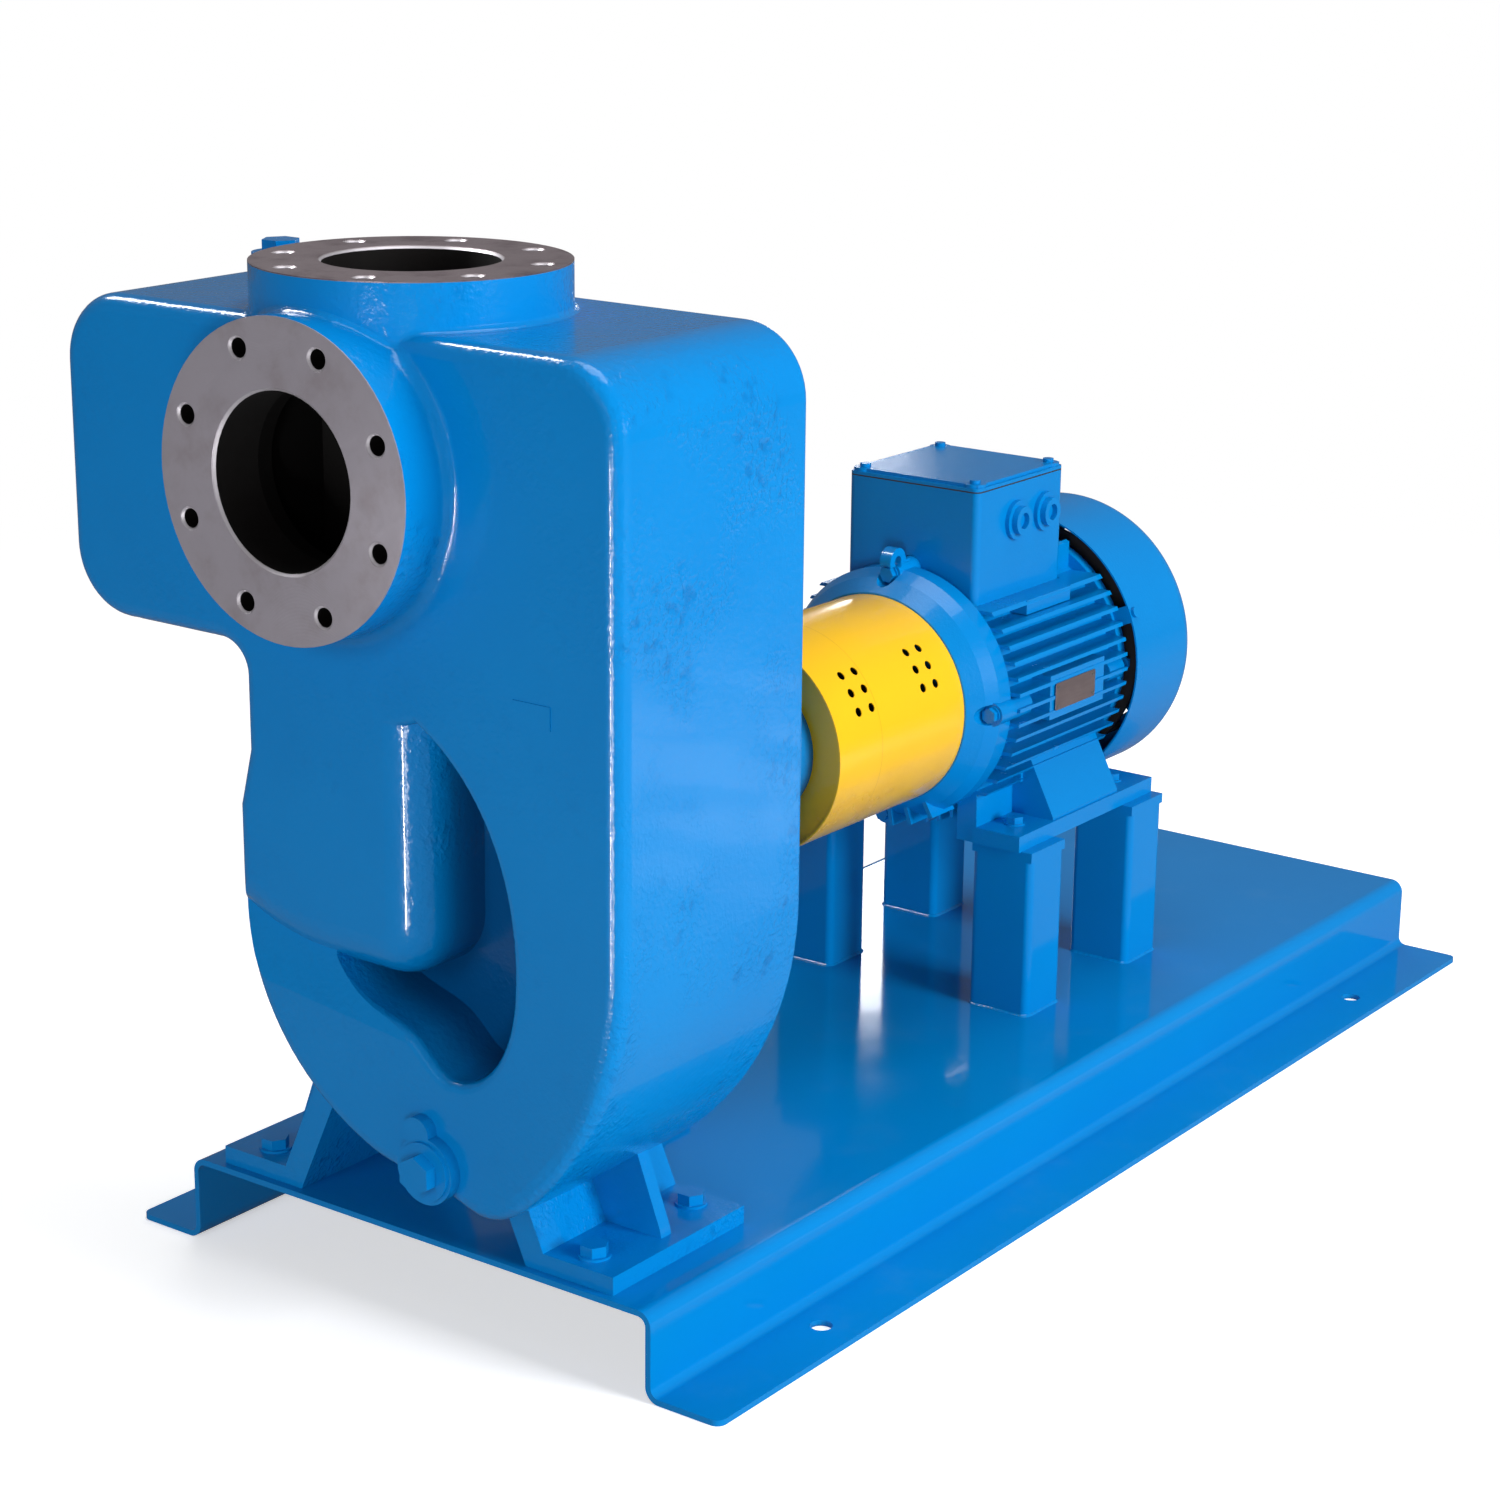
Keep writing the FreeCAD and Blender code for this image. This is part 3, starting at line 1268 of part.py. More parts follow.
def make_drive_shield():
    # Domed end shield with the register that carries the coupling guard.
    register = guard_r - guard_sheet - fit_gap
    inside = barrel_r - barrel_wall
    boss = motor_bearing_r + 12
    y_face = guard_rear_y
    body = turned_y([
        (motor_shaft_r + 3, y_face - 6), (register - 18, y_face - 6), (register - 9, y_face - 11),
        (register, y_face - 11), (register, y_face), (guard_r + 2, y_face), (shield_r - 8, y_face + 18),
        (shield_r, y_face + 34), (shield_r, frame_start_y), (inside, frame_start_y),
        (inside, frame_start_y - 10), (inside - 13, y_face + 36), (boss, y_face + 26),
        (boss, drive_bearing_y + motor_bearing_width + 5),
        (motor_bearing_r, drive_bearing_y + motor_bearing_width + 5),
        (motor_bearing_r, drive_bearing_y), (motor_shaft_r + 10, drive_bearing_y),
        (motor_shaft_r + 10, y_face + 6), (motor_shaft_r + 3, y_face + 6),
    ])
    ear = rod_y(shield_ear_r, shield_seat_y, frame_start_y, shield_bolt_pcd / 2)
    lug = lifting_lug()
    rib = block(guard_r - 8, shield_r + 4, guard_rear_y + 8, frame_start_y - 4, shaft_z - 2.5, shaft_z + 2.5)
    ribs = [spun(rib, angle) for angle in shield_rib_angles]
    body = joined([body, lug] + ribs + ring_of(ear, 4))
    spot_face = rod_y(shield_bolt_d + 1.5, shield_seat_y - 30, shield_seat_y, shield_bolt_pcd / 2)
    hole = rod_y(shield_bolt_d / 2 + bolt_gap, shield_seat_y - 1, frame_start_y + 1, shield_bolt_pcd / 2)
    holes = [rod_x(lug_eye_r, -lug_thickness, lug_thickness, lug_y, shaft_z + lug_rise)]
    return body.cut(Part.makeCompound(ring_of(spot_face, 4) + ring_of(hole, 4) + holes))


def lifting_lug():
    # Cast eye on top of the end shield, across the shaft line.
    half = lug_thickness / 2
    z = shaft_z + lug_rise
    disc = rod_x(lug_r, -half, half, lug_y, z)
    neck = block(-half, half, lug_y - lug_r, lug_y + lug_r + 8, shaft_z + guard_r - 6, z)
    return joined([disc, neck])


def make_rear_shield():
    inside = barrel_r - barrel_wall
    boss = motor_bearing_r + 14
    y0 = frame_end_y
    body = turned_y([
        (inside, y0), (shield_r, y0), (shield_r, y0 + shield_flange), (inside, y0 + shield_flange),
        (boss, y0 + shield_flange + 6), (boss, y0 + 34),
        (motor_bearing_bore_r + 2, y0 + 34),
        (motor_bearing_bore_r + 2, rear_motor_bearing_y + motor_bearing_width + 1),
        (motor_bearing_r, rear_motor_bearing_y + motor_bearing_width + 1), (motor_bearing_r, y0 + 4),
        (inside - 7, y0 + 4),
    ])
    reach = fan_cover_r - fan_cover_sheet - fit_gap
    ear = block(shield_r - 12, reach + 4, fan_screw_y - 8, fan_screw_y + 8, shaft_z - 10, shaft_z + 10)
    ear = ear.common(rod_y(reach, fan_screw_y - 20, fan_screw_y + 20))
    ear = ear.cut(rod_x(fan_screw_d / 2, reach - 12, reach + 5, fan_screw_y, shaft_z))
    body = body.fuse(ring_of(ear, 4, fan_screw_angle))
    hole = rod_y(shield_bolt_d / 2 + bolt_gap, y0 - 1, y0 + 30, shield_bolt_pcd / 2)
    return body.cut(Part.makeCompound(ring_of(hole, 4))).removeSplitter()


def make_shield_bolts():
    front = bolt(shield_bolt_d, frame_start_y - shield_seat_y + 20,
                 V(shield_bolt_pcd / 2, shield_seat_y, shaft_z), V(0, -1, 0))
    seat = frame_end_y + shield_flange
    rear = bolt(shield_bolt_d, shield_flange + 20, V(shield_bolt_pcd / 2, seat, shaft_z), Y)
    return Part.makeCompound(ring_of(front, 4) + ring_of(rear, 4))


def make_stator():
    middle = (frame_start_y + frame_end_y) / 2
    return ring_y(barrel_r - barrel_wall - fit_gap, stator_bore_r, middle - stator_length / 2,
                  middle + stator_length / 2)


def make_windings():
    middle = (frame_start_y + frame_end_y) / 2
    end = middle + stator_length / 2
    inner, outer = stator_bore_r + 7, barrel_r - barrel_wall - 9
    ring = turned_y([(inner, end), (outer, end), (outer, end + winding_overhang - 6),
                     (outer - 6, end + winding_overhang), (inner + 6, end + winding_overhang),
                     (inner, end + winding_overhang - 6)])
    other = ring.mirror(V(0, middle, 0), Y)
    return Part.makeCompound([ring, other])


def make_rotor_core():
    middle = (frame_start_y + frame_end_y) / 2
    core = ring_y(stator_bore_r - rotor_gap, rotor_spider_r + fit_gap, middle - stator_length / 2,
                  middle + stator_length / 2)
    cage = [ring_y(stator_bore_r - 6, stator_bore_r - 20, y, y + 14)
            for y in (middle - stator_length / 2 - 14, middle + stator_length / 2)]
    return joined([core] + cage)


def make_motor_shaft():
    r = motor_bearing_bore_r
    shaft = turned_y([
        (0, motor_shaft_end_y), (motor_shaft_r, motor_shaft_end_y), (motor_shaft_r, motor_shoulder_y),
        (r, motor_shoulder_y), (r, drive_bearing_y + motor_bearing_width),
        (rotor_spider_r, drive_bearing_y + motor_bearing_width), (rotor_spider_r, rear_motor_bearing_y),
        (r, rear_motor_bearing_y), (r, rear_motor_bearing_y + motor_bearing_width),
        (fan_shaft_r, rear_motor_bearing_y + motor_bearing_width), (fan_shaft_r, fan_y + fan_width),
        (0, fan_y + fan_width),
    ])
    return shaft.cut(key_block(motor_shaft_r, spider_y + jaw_length + 6, motor_hub_end_y - 8))


def make_fan():
    hub = rod_y(fan_shaft_r + 11, fan_y, fan_y + fan_width)
    disc = rod_y(fan_r, fan_y, fan_y + fan_disc)
    blade = block(fan_shaft_r + 6, fan_r, fan_y + 1, fan_y + fan_width - 4, shaft_z - 1.6, shaft_z + 1.6)
    body = joined([hub, disc] + ring_of(blade, fan_blades))
    return body.cut(rod_y(fan_shaft_r + fit_gap, fan_y - 1, fan_y + fan_width + 1))


def cover_profile(radius, back_y, corner):
    # Half section of the cowl from its open front edge to the axis, round at the back edge.
    y0 = fan_cover_front_y
    middle = math.radians(45)
    half_way = V(radius - corner + corner * math.cos(middle),
                 back_y - corner + corner * math.sin(middle), shaft_z)
    arc = Part.Arc(V(radius, back_y - corner, shaft_z), half_way,
                   V(radius - corner, back_y, shaft_z)).toShape()
    return [Part.LineSegment(V(radius, y0, shaft_z), V(radius, back_y - corner, shaft_z)).toShape(), arc,
            Part.LineSegment(V(radius - corner, back_y, shaft_z), V(0, back_y, shaft_z)).toShape()]


def make_fan_cover():
    back = fan_cover_front_y + fan_cover_straight + fan_cover_dome
    solids = []
    for inset in (0.0, fan_cover_sheet):
        edges = cover_profile(fan_cover_r - inset, back - inset, fan_cover_dome_round - inset)
        edges.append(Part.LineSegment(V(0, back - inset, shaft_z),
                                      V(0, fan_cover_front_y, shaft_z)).toShape())
        edges.append(Part.LineSegment(V(0, fan_cover_front_y, shaft_z),
                                      V(fan_cover_r - inset, fan_cover_front_y, shaft_z)).toShape())
        solids.append(Part.Face(Part.Wire(edges)).revolve(V(0, 0, shaft_z), Y, 360))
    cowl = solids[0].cut(solids[1])
    cuts = []
    for count, inner, outer, half in zip(grille_counts, grille_starts, grille_ends, grille_halves):
        slot = block(inner, outer, back - 10, back + 10, shaft_z - half, shaft_z + half)
        cuts += ring_of(slot, count, 180.0 / count)
    screw_hole = rod_x(fan_screw_d / 2 + bolt_gap, fan_cover_r - 10, fan_cover_r + 5, fan_screw_y, shaft_z)
    cuts += ring_of(screw_hole, 4, fan_screw_angle)
    return cowl.cut(Part.makeCompound(cuts))


def make_fan_screws():
    reach = fan_cover_r - fan_cover_sheet - fit_gap
    shank = rod_x(fan_screw_d / 2 - thread_gap, reach - 10, fan_cover_r + 1, fan_screw_y, shaft_z)
    head = rod_x(fan_screw_d, fan_cover_r + fit_gap, fan_cover_r + 4, fan_screw_y, shaft_z)
    screw = joined([shank, head])
    return Part.makeCompound(ring_of(screw, 4, fan_screw_angle))


# Terminal box
def box_walls(z0, z1):
    outer = block(-box_half_width, box_half_width, box_front_y, box_end_y, z0, z1)
    upright = edges_where(outer, lambda e: e.BoundBox.ZLength > z1 - z0 - 0.01)
    outer = outer.makeFillet(box_corner, upright)
    inner = block(-box_half_width + box_wall, box_half_width - box_wall, box_front_y + box_wall,
                  box_end_y - box_wall, z0 - 1, z1 + 1)
    return outer, outer.cut(inner)


def make_box_base():
    solid, walls = box_walls(shaft_z + box_skirt_rise - 4, shaft_z + box_split_rise)
    walls = walls.cut(rod_y(barrel_r + fit_gap, frame_start_y - 1, frame_end_y))
    walls = walls.cut(rod_y(shield_r + bolt_gap, box_front_y - 20, frame_start_y + bolt_gap))
    ear_room = rod_y(shield_ear_r + bolt_gap, box_front_y - 20, frame_start_y + 33, shield_bolt_pcd / 2)
    return walls.cut(Part.makeCompound(ring_of(ear_room, 4)))


def make_box_body():
    z0 = shaft_z + box_split_rise
    z1 = shaft_z + box_rise
    walls = box_walls(z0, z1)[1]
    posts = [rod_z(lid_post_r, z0, z1, x, y) for x, y in lid_screw_places()]
    body = joined([walls] + posts)
    holes = [rod_z(lid_screw_d / 2, z1 - 14, z1 + 1, x, y) for x, y in lid_screw_places()]
    for y in entry_ys():
        holes.append(rod_x(entry_thread_r, box_half_width - box_wall - 1, box_half_width + 1, y, entry_z))
    return body.cut(Part.makeCompound(holes))


def lid_screw_places():
    x = box_half_width - lid_screw_inset
    return [(side * x, y) for side in (-1, 1)
            for y in (box_front_y + lid_screw_inset, box_end_y - lid_screw_inset)]


def entry_ys():
    return (box_front_y + entry_first, box_front_y + entry_first + entry_pitch)


def screw_holes(z0, z1):
    return Part.makeCompound([rod_z(lid_screw_d / 2 + bolt_gap, z0, z1, x, y) for x, y in lid_screw_places()])


def make_box_gasket():
    z0 = shaft_z + box_rise
    return box_walls(z0, z0 + gasket)[1].cut(screw_holes(z0 - 1, z0 + gasket + 1))


def make_box_lid():
    z0 = shaft_z + box_rise + gasket
    outer = box_walls(z0, z0 + box_lid)[0]
    inset = block(-box_half_width + lid_inset, box_half_width - lid_inset, box_front_y + lid_inset,
                  box_end_y - lid_inset, z0, z0 + box_lid)
    ears = [rod_z(lid_ear_r, z0, z0 + box_lid, x, y) for x, y in lid_screw_places()]
    seat = box_walls(z0, z0 + box_lid / 2)[0]
    lid = joined([inset, seat] + ears).common(outer)
    return lid.cut(screw_holes(z0 - 1, z0 + box_lid + 1))


def make_lid_screws():
    top = shaft_z + box_rise + gasket + box_lid
    screws = []
    for x, y in lid_screw_places():
        head = rod_z(lid_screw_d, top, top + 4, x, y)
        shank = rod_z(lid_screw_d / 2 - thread_gap, top - box_lid - gasket - 12, top + 1, x, y)
        screws.append(joined([head, shank]))
    return Part.makeCompound(screws)


def make_terminal_board():
    z0 = shaft_z + barrel_r + board_seat
    return block(-board_half_x, board_half_x, board_y - board_half_y, board_y + board_half_y,
                 z0, z0 + board_height)


def make_terminal_studs():
    z0 = shaft_z + barrel_r + board_seat + board_height
    places = [(side * board_half_x / 2, board_y + stud_pitch * step)
              for side in (-1, 1) for step in (-1, 0, 1)]
    return Part.makeCompound([rod_z(stud_r, z0, z0 + stud_height, x, y) for x, y in places])


def make_entry_plugs():
    plugs = []
    for y in entry_ys():
        side = box_half_width
        flange = rod_x(entry_plug_r, side, side + entry_flange, y, entry_z)
        neck = rod_x(entry_neck_r, side, side + entry_neck, y, entry_z)
        shank = rod_x(entry_thread_r - thread_gap, side - box_wall - 3, side + 1, y, entry_z)
        recess = rod_x(entry_recess_r, side + entry_neck / 2, side + entry_neck + 1, y, entry_z)
        plugs.append(joined([flange, neck, shank]).cut(recess))
    return Part.makeCompound(plugs)


# Motor posts
def post_places():
    return [(side * post_centre_x, y) for side in (-1, 1) for y in (post_front_y, post_front_y + post_pitch)]


def make_posts():
    wide = post_width / 2
    half = post_side / 2
    tubes = []
    for x, y in post_places():
        outer = block(x - wide, x + wide, y - half, y + half, base_top, base_top + post_height)
        upright = edges_where(outer, lambda e: e.BoundBox.ZLength > post_height - 0.01)
        outer = outer.makeFillet(post_round, upright)
        inner = block(x - wide + post_wall, x + wide - post_wall, y - half + post_wall, y + half - post_wall,
                      base_top - 1, base_top + post_height + 1)
        tubes.append(outer.cut(inner))
    return Part.makeCompound(tubes)


def make_pads():
    wide = post_width / 2
    half = post_side / 2
    plates = []
    for x, y in post_places():
        plates.append(block(x - wide, x + wide, y - half, y + half, base_top + post_height, motor_foot_z))
    holes = [rod_z(motor_bolt_d / 2, motor_foot_z - pad_plate - 1, motor_foot_z + 1,
                   side * motor_foot_pitch_x / 2, y) for side in (-1, 1) for y in foot_bolt_ys()]
    return Part.makeCompound([plate.cut(Part.makeCompound(holes)) for plate in plates])


def make_motor_foot_bolts():
    return Part.makeCompound([
        bolt(motor_bolt_d, motor_foot_plate + pad_plate + 4,
             V(side * motor_foot_pitch_x / 2, y, motor_foot_z + motor_foot_plate), Z)
        for side in (-1, 1) for y in foot_bolt_ys()])


pump_bearings = [bearing_rings(y, pump_bearing_width, pump_bearing_bore_r, pump_bearing_r)
                 for y in (front_bearing_y, rear_bearing_y)]
motor_bearings = [bearing_rings(y, motor_bearing_width, motor_bearing_bore_r, motor_bearing_r)
                  for y in (drive_bearing_y, rear_motor_bearing_y)]

nodes["base_frame"] = make_base()
nodes["pump_casing"] = make_casing()
nodes["casing_foot_bolts"] = make_foot_bolts()
nodes["drain_plug"] = make_drain_plug()
nodes["filler_plug"] = make_filler_plug()
nodes["wear_plate"] = make_wear_plate()
nodes["casing_cover"] = make_cover()
nodes["cover_bolts"] = make_cover_bolts()
nodes["seal_gland"] = make_seal_gland()
nodes["seal_gland_bolts"] = make_gland_bolts()
nodes["seal_seat"] = make_seal_seat()
nodes["seal_ring"] = make_seal_ring()
nodes["impeller"] = make_impeller()
nodes["impeller_nut"] = make_impeller_nut()
nodes["pump_shaft"] = make_pump_shaft()
nodes["shaft_sleeve"] = make_sleeve()
nodes["pump_bearing_outer"] = Part.makeCompound([rings[0] for rings in pump_bearings])
nodes["pump_bearing_inner"] = Part.makeCompound([rings[1] for rings in pump_bearings])
nodes["pump_bearing_balls"] = Part.makeCompound([ball for rings in pump_bearings for ball in rings[2]])
nodes["bearing_bracket"] = make_bracket()
nodes["bearing_cap"] = make_bearing_cap()
nodes["cap_bolts"] = make_cap_bolts()
nodes["lip_seals"] = make_lip_seals()
nodes["oil_filler_plug"] = make_oil_plug()
nodes["oil_level_glass"] = make_oil_glass()
nodes["bracket_support"] = make_support()
nodes["support_bolts"] = make_support_bolts()
nodes["pump_coupling_hub"] = make_pump_hub()
nodes["coupling_spider"] = make_spider()
nodes["motor_coupling_hub"] = make_motor_hub()
nodes["pump_key"] = key_block(shaft_drive_r, pump_hub_y + 8, pump_shaft_end_y - 6)
nodes["motor_key"] = key_block(motor_shaft_r, spider_y + jaw_length + 6, motor_hub_end_y - 8)
nodes["guard_front_shell"] = make_guard_front()
nodes["guard_rear_shell"] = make_guard_rear()
nodes["guard_end_plate"] = make_guard_plate()
nodes["motor_frame"] = make_motor_frame()
nodes["drive_end_shield"] = make_drive_shield()
nodes["rear_end_shield"] = make_rear_shield()
nodes["end_shield_bolts"] = make_shield_bolts()
nodes["motor_bearing_outer"] = Part.makeCompound([rings[0] for rings in motor_bearings])
nodes["motor_bearing_inner"] = Part.makeCompound([rings[1] for rings in motor_bearings])
nodes["motor_bearing_balls"] = Part.makeCompound([ball for rings in motor_bearings for ball in rings[2]])
nodes["stator_core"] = make_stator()
nodes["stator_windings"] = make_windings()
nodes["rotor_core"] = make_rotor_core()
nodes["motor_shaft"] = make_motor_shaft()
nodes["motor_fan"] = make_fan()
nodes["fan_cover"] = make_fan_cover()
nodes["fan_cover_screws"] = make_fan_screws()
nodes["terminal_box_base"] = make_box_base()
nodes["terminal_box"] = make_box_body()
nodes["terminal_box_gasket"] = make_box_gasket()
nodes["terminal_box_lid"] = make_box_lid()
nodes["terminal_box_screws"] = make_lid_screws()
nodes["terminal_board"] = make_terminal_board()
nodes["terminal_studs"] = make_terminal_studs()
nodes["cable_entry_plugs"] = make_entry_plugs()
nodes["motor_posts"] = make_posts()
nodes["motor_pads"] = make_pads()
nodes["motor_foot_bolts"] = make_motor_foot_bolts()

os.makedirs("parts", exist_ok=True)
for name, shape in nodes.items():
    if name != "base_frame":
        shape = shape.translated(V(line_shift, 0, 0))
    shape.exportStep("parts/" + name + ".step")
    print(name, len(shape.Solids), "solids", round(shape.Volume / 1000, 1), "cm3", shape.isValid())
print(len(nodes), "nodes")
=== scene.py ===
# %% [markdown]
# A self-priming pump set, finished in Blender.
# The real one is a tall iron casting, a short shaft line under a yellow guard and an electric
# motor, all bolted to a folded steel base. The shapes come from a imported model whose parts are
# already in place, so this lesson adds what a paint shop and a fitter add: paint, bare machined
# faces, weld beads, a plate and its rivets. Everything is in metres, +Y along the shaft, +Z up.

# %% Load the frame
import json
import math

import bpy
from mathutils import Matrix, Vector, noise


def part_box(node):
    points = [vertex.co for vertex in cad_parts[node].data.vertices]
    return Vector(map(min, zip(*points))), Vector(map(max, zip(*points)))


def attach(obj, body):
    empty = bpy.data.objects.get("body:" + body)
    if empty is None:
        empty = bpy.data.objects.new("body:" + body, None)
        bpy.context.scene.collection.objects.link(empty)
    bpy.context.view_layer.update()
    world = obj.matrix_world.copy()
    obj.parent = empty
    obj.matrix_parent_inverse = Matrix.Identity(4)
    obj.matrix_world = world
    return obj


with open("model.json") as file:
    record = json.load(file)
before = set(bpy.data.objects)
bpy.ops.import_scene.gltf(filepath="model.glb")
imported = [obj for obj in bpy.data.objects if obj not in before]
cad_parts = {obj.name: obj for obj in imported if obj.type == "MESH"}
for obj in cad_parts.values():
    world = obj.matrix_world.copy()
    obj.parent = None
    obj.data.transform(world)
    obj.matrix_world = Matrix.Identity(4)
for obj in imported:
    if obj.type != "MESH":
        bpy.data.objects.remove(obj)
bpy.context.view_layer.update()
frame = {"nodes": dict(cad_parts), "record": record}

# %% [markdown]
# Places to work from.
# Every piece added later sits on something that is already there. Its place could be typed in, but
# then it would stay behind when the model changes. So it is read from the frame: the shaft line
# from the joint, the flanges from their mounts and the rest from the boxes of the nodes.

# %% Read the driving places
mounts = {mount["name"]: mount for mount in frame["record"]["mounts"]}
suction = Vector(mounts["suction_flange_bolts"]["pos_m"])
suction.y = mounts["suction_flange_face"]["pos_m"][1]
discharge = Vector(mounts["discharge_flange_bolts"]["pos_m"])
discharge.z = mounts["discharge_flange_face"]["pos_m"][2]
line_x = suction.x
shaft_z = frame["record"]["behaviour"]["joints"][0]["pos_m"][2]
casing_low, casing_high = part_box("pump_casing")
guard_low, guard_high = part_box("guard_front_shell")
post_low, post_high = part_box("motor_posts")
base_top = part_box("base_frame")[1][2]
mm = 0.001
print("shaft line at", shaft_z, "base top at", round(base_top, 3))

# %% [markdown]
# The camera.
# The picture that this set is matched to was taken from the right of the suction flange, a little
# above the casing's middle, with a long lens. Its angles were worked out from the straight edges of
# the base. Blender could aim a camera with a constraint, but a solved camera also leans a little,
# so its matrix is written out: a camera's own axes are right, up and back, and those three
# directions fill the columns.

# %% Set up the camera
camera_azimuth = math.radians(36.24)
camera_elevation = math.radians(16.48)
camera_roll = math.radians(0.59)
camera_place = Vector((1.9424, -2.8793, 1.4095))
camera_lens = 79.15
camera_sensor = 36.0
camera_reach = 60.0


def add_camera():
    data = bpy.data.cameras.new("camera")
    data.lens = camera_lens
    data.sensor_width = camera_sensor
    data.clip_end = camera_reach
    camera = bpy.data.objects.new("camera", data)
    bpy.context.collection.objects.link(camera)
    reach = math.cos(camera_elevation)
    back = Vector((math.sin(camera_azimuth) * reach, -math.cos(camera_azimuth) * reach,
                   math.sin(camera_elevation)))
    level = Vector((math.cos(camera_azimuth), math.sin(camera_azimuth), 0.0))
    upright = back.cross(level)
    right = level * math.cos(camera_roll) + upright * math.sin(camera_roll)
    up = upright * math.cos(camera_roll) - level * math.sin(camera_roll)
    rotation = Matrix((right, up, back)).transposed()
    camera.matrix_world = Matrix.Translation(camera_place) @ rotation.to_4x4()
    bpy.context.scene.camera = camera
    return camera


camera = add_camera()
print("camera", [round(value, 3) for value in camera.location], "lens", camera_lens)

# %% [markdown]
# Shader maths as plain expressions.
# A paint finish is mostly arithmetic on noise: scale it, bend it, mix two masks. Wiring Math nodes
# by hand hides that arithmetic, so a small class wraps a socket and gives it the usual operators.
# Writing 1 - mask then adds the node by itself. Every other node comes from one method, node(),
# which takes the node's type, its settings and the values or links of its sockets.

# %% Wrap a socket
class Wire:
    def __init__(self, finish, socket):
        self.finish = finish
        self.socket = socket

    def __add__(self, other):
        return self.finish.math("ADD", self, other)

    __radd__ = __add__

    def __mul__(self, other):
        return self.finish.math("MULTIPLY", self, other)

    __rmul__ = __mul__

    def __sub__(self, other):
        return self.finish.math("SUBTRACT", self, other)

    def __rsub__(self, other):
        return self.finish.math("SUBTRACT", other, self)

    def __pow__(self, other):
        return self.finish.math("POWER", self, other)

    def abs(self):
        return self.finish.math("ABSOLUTE", self)

    def at_least(self, other):
        return self.finish.math("MAXIMUM", self, other)

    def ramp(self, low, high):
        # 0 below low, 1 above high, smooth in between.
        settings = {"interpolation_type": "SMOOTHSTEP"}
        inputs = {"Value": self, "From Min": low, "From Max": high}
        return self.finish.node("ShaderNodeMapRange", settings, inputs, "Result")

    def below(self, edge, soft=0.0002):
        return 1 - self.ramp(edge - soft, edge + soft)

    def above(self, edge, soft=0.0002):
        return self.ramp(edge - soft, edge + soft)


print("operators ready")

# %% [markdown]
# One class for one material.
# It owns the node tree, makes nodes, and knows the few things every finish here asks for: where a
# point is on the part, noise at a real size, and a mix of two colours. A texture could be laid on
# with an unwrapped map, but noise in space needs none. The object coordinates serve for it, because
# every object in the frame sits at the origin, so they are the real metres of the part.

# %% Make a finish
class Finish:
    def __init__(self, name, for_world=False):
        self.owner = bpy.data.worlds.new(name) if for_world else bpy.data.materials.new(name)
        self.owner.use_nodes = True
        self.tree = self.owner.node_tree
        self.tree.nodes.clear()
        if not for_world:
            self.place = self.node("ShaderNodeTexCoord", {}, {}, "Object")
            # Noise is drawn in turned axes, so that its grid never lines up with a flat face.
            self.turned = self.node("ShaderNodeVectorRotate", {},
                                    {"Vector": self.place, "Axis": (0.42, 0.71, 0.56), "Angle": 0.8})
        self.end = "ShaderNodeOutputWorld" if for_world else "ShaderNodeOutputMaterial"

    def put(self, socket, value):
        if isinstance(value, Wire):
            self.tree.links.new(value.socket, socket)
        elif value is not None:
            socket.default_value = value

    def made(self, kind, settings, inputs):
        node = self.tree.nodes.new(kind)
        for name, value in settings.items():
            setattr(node, name, value)
        for name, value in inputs.items():
            self.put(node.inputs[name], value)
        return node

    def node(self, kind, settings, inputs, result=0):
        return Wire(self, self.made(kind, settings, inputs).outputs[result])

    def math(self, operation, first, second=None):
        return self.node("ShaderNodeMath", {"operation": operation}, {0: first, 1: second})

    def vector(self, operation, first, second):
        return self.node("ShaderNodeVectorMath", {"operation": operation}, {0: first, 1: second})

    def axes(self, source=None):
        split = self.made("ShaderNodeSeparateXYZ", {}, {0: source or self.place})
        return [Wire(self, output) for output in split.outputs]

    def facing(self):
        return self.axes(self.node("ShaderNodeTexCoord", {}, {}, "Normal"))

    def ray(self, kind):
        # 1 for the rays of that kind, such as the ones that come from the camera.
        return self.node("ShaderNodeLightPath", {}, {}, kind)

    def speckle(self, size, detail=2.0, rough=0.5, source=None):
        # Noise whose lumps are about size metres across.
        inputs = {"Vector": source or self.turned, "Scale": 1.0 / size}
        inputs.update({"Detail": detail, "Roughness": rough})
        return self.node("ShaderNodeTexNoise", {}, inputs, "Fac")

    def cells(self, size, source=None):
        # Distance to the nearest of many scattered points.
        inputs = {"Vector": source or self.turned, "Scale": 1.0 / size}
        return self.node("ShaderNodeTexVoronoi", {"feature": "F1"}, inputs, "Distance") * size

    def stretched(self, x, y, z):
        return self.vector("MULTIPLY", self.place, (x, y, z))

    def mixed(self, share, first, second):
        first = first if isinstance(first, Wire) else (*first, 1.0)
        second = second if isinstance(second, Wire) else (*second, 1.0)
        return self.node("ShaderNodeMix", {"data_type": "RGBA"}, {0: share, 6: first, 7: second}, 2)

    def bumped(self, height, distance):
        return self.node("ShaderNodeBump", {}, {"Height": height, "Distance": distance, "Strength": 1.0})

    def surface(self, colour, **sockets):
        inputs = {"Base Color": colour if isinstance(colour, Wire) else (*colour, 1.0)}
        for name, value in sockets.items():
            inputs[name.replace("_", " ").title().replace("Ior", "IOR")] = value
        return self.node("ShaderNodeBsdfPrincipled", {}, inputs)

    def blend(self, share, first, second):
        return self.node("ShaderNodeMixShader", {}, {0: share, 1: first, 2: second})

    def done(self, shader):
        self.made(self.end, {}, {"Surface": shader})
        return self.owner


print("finish class ready")

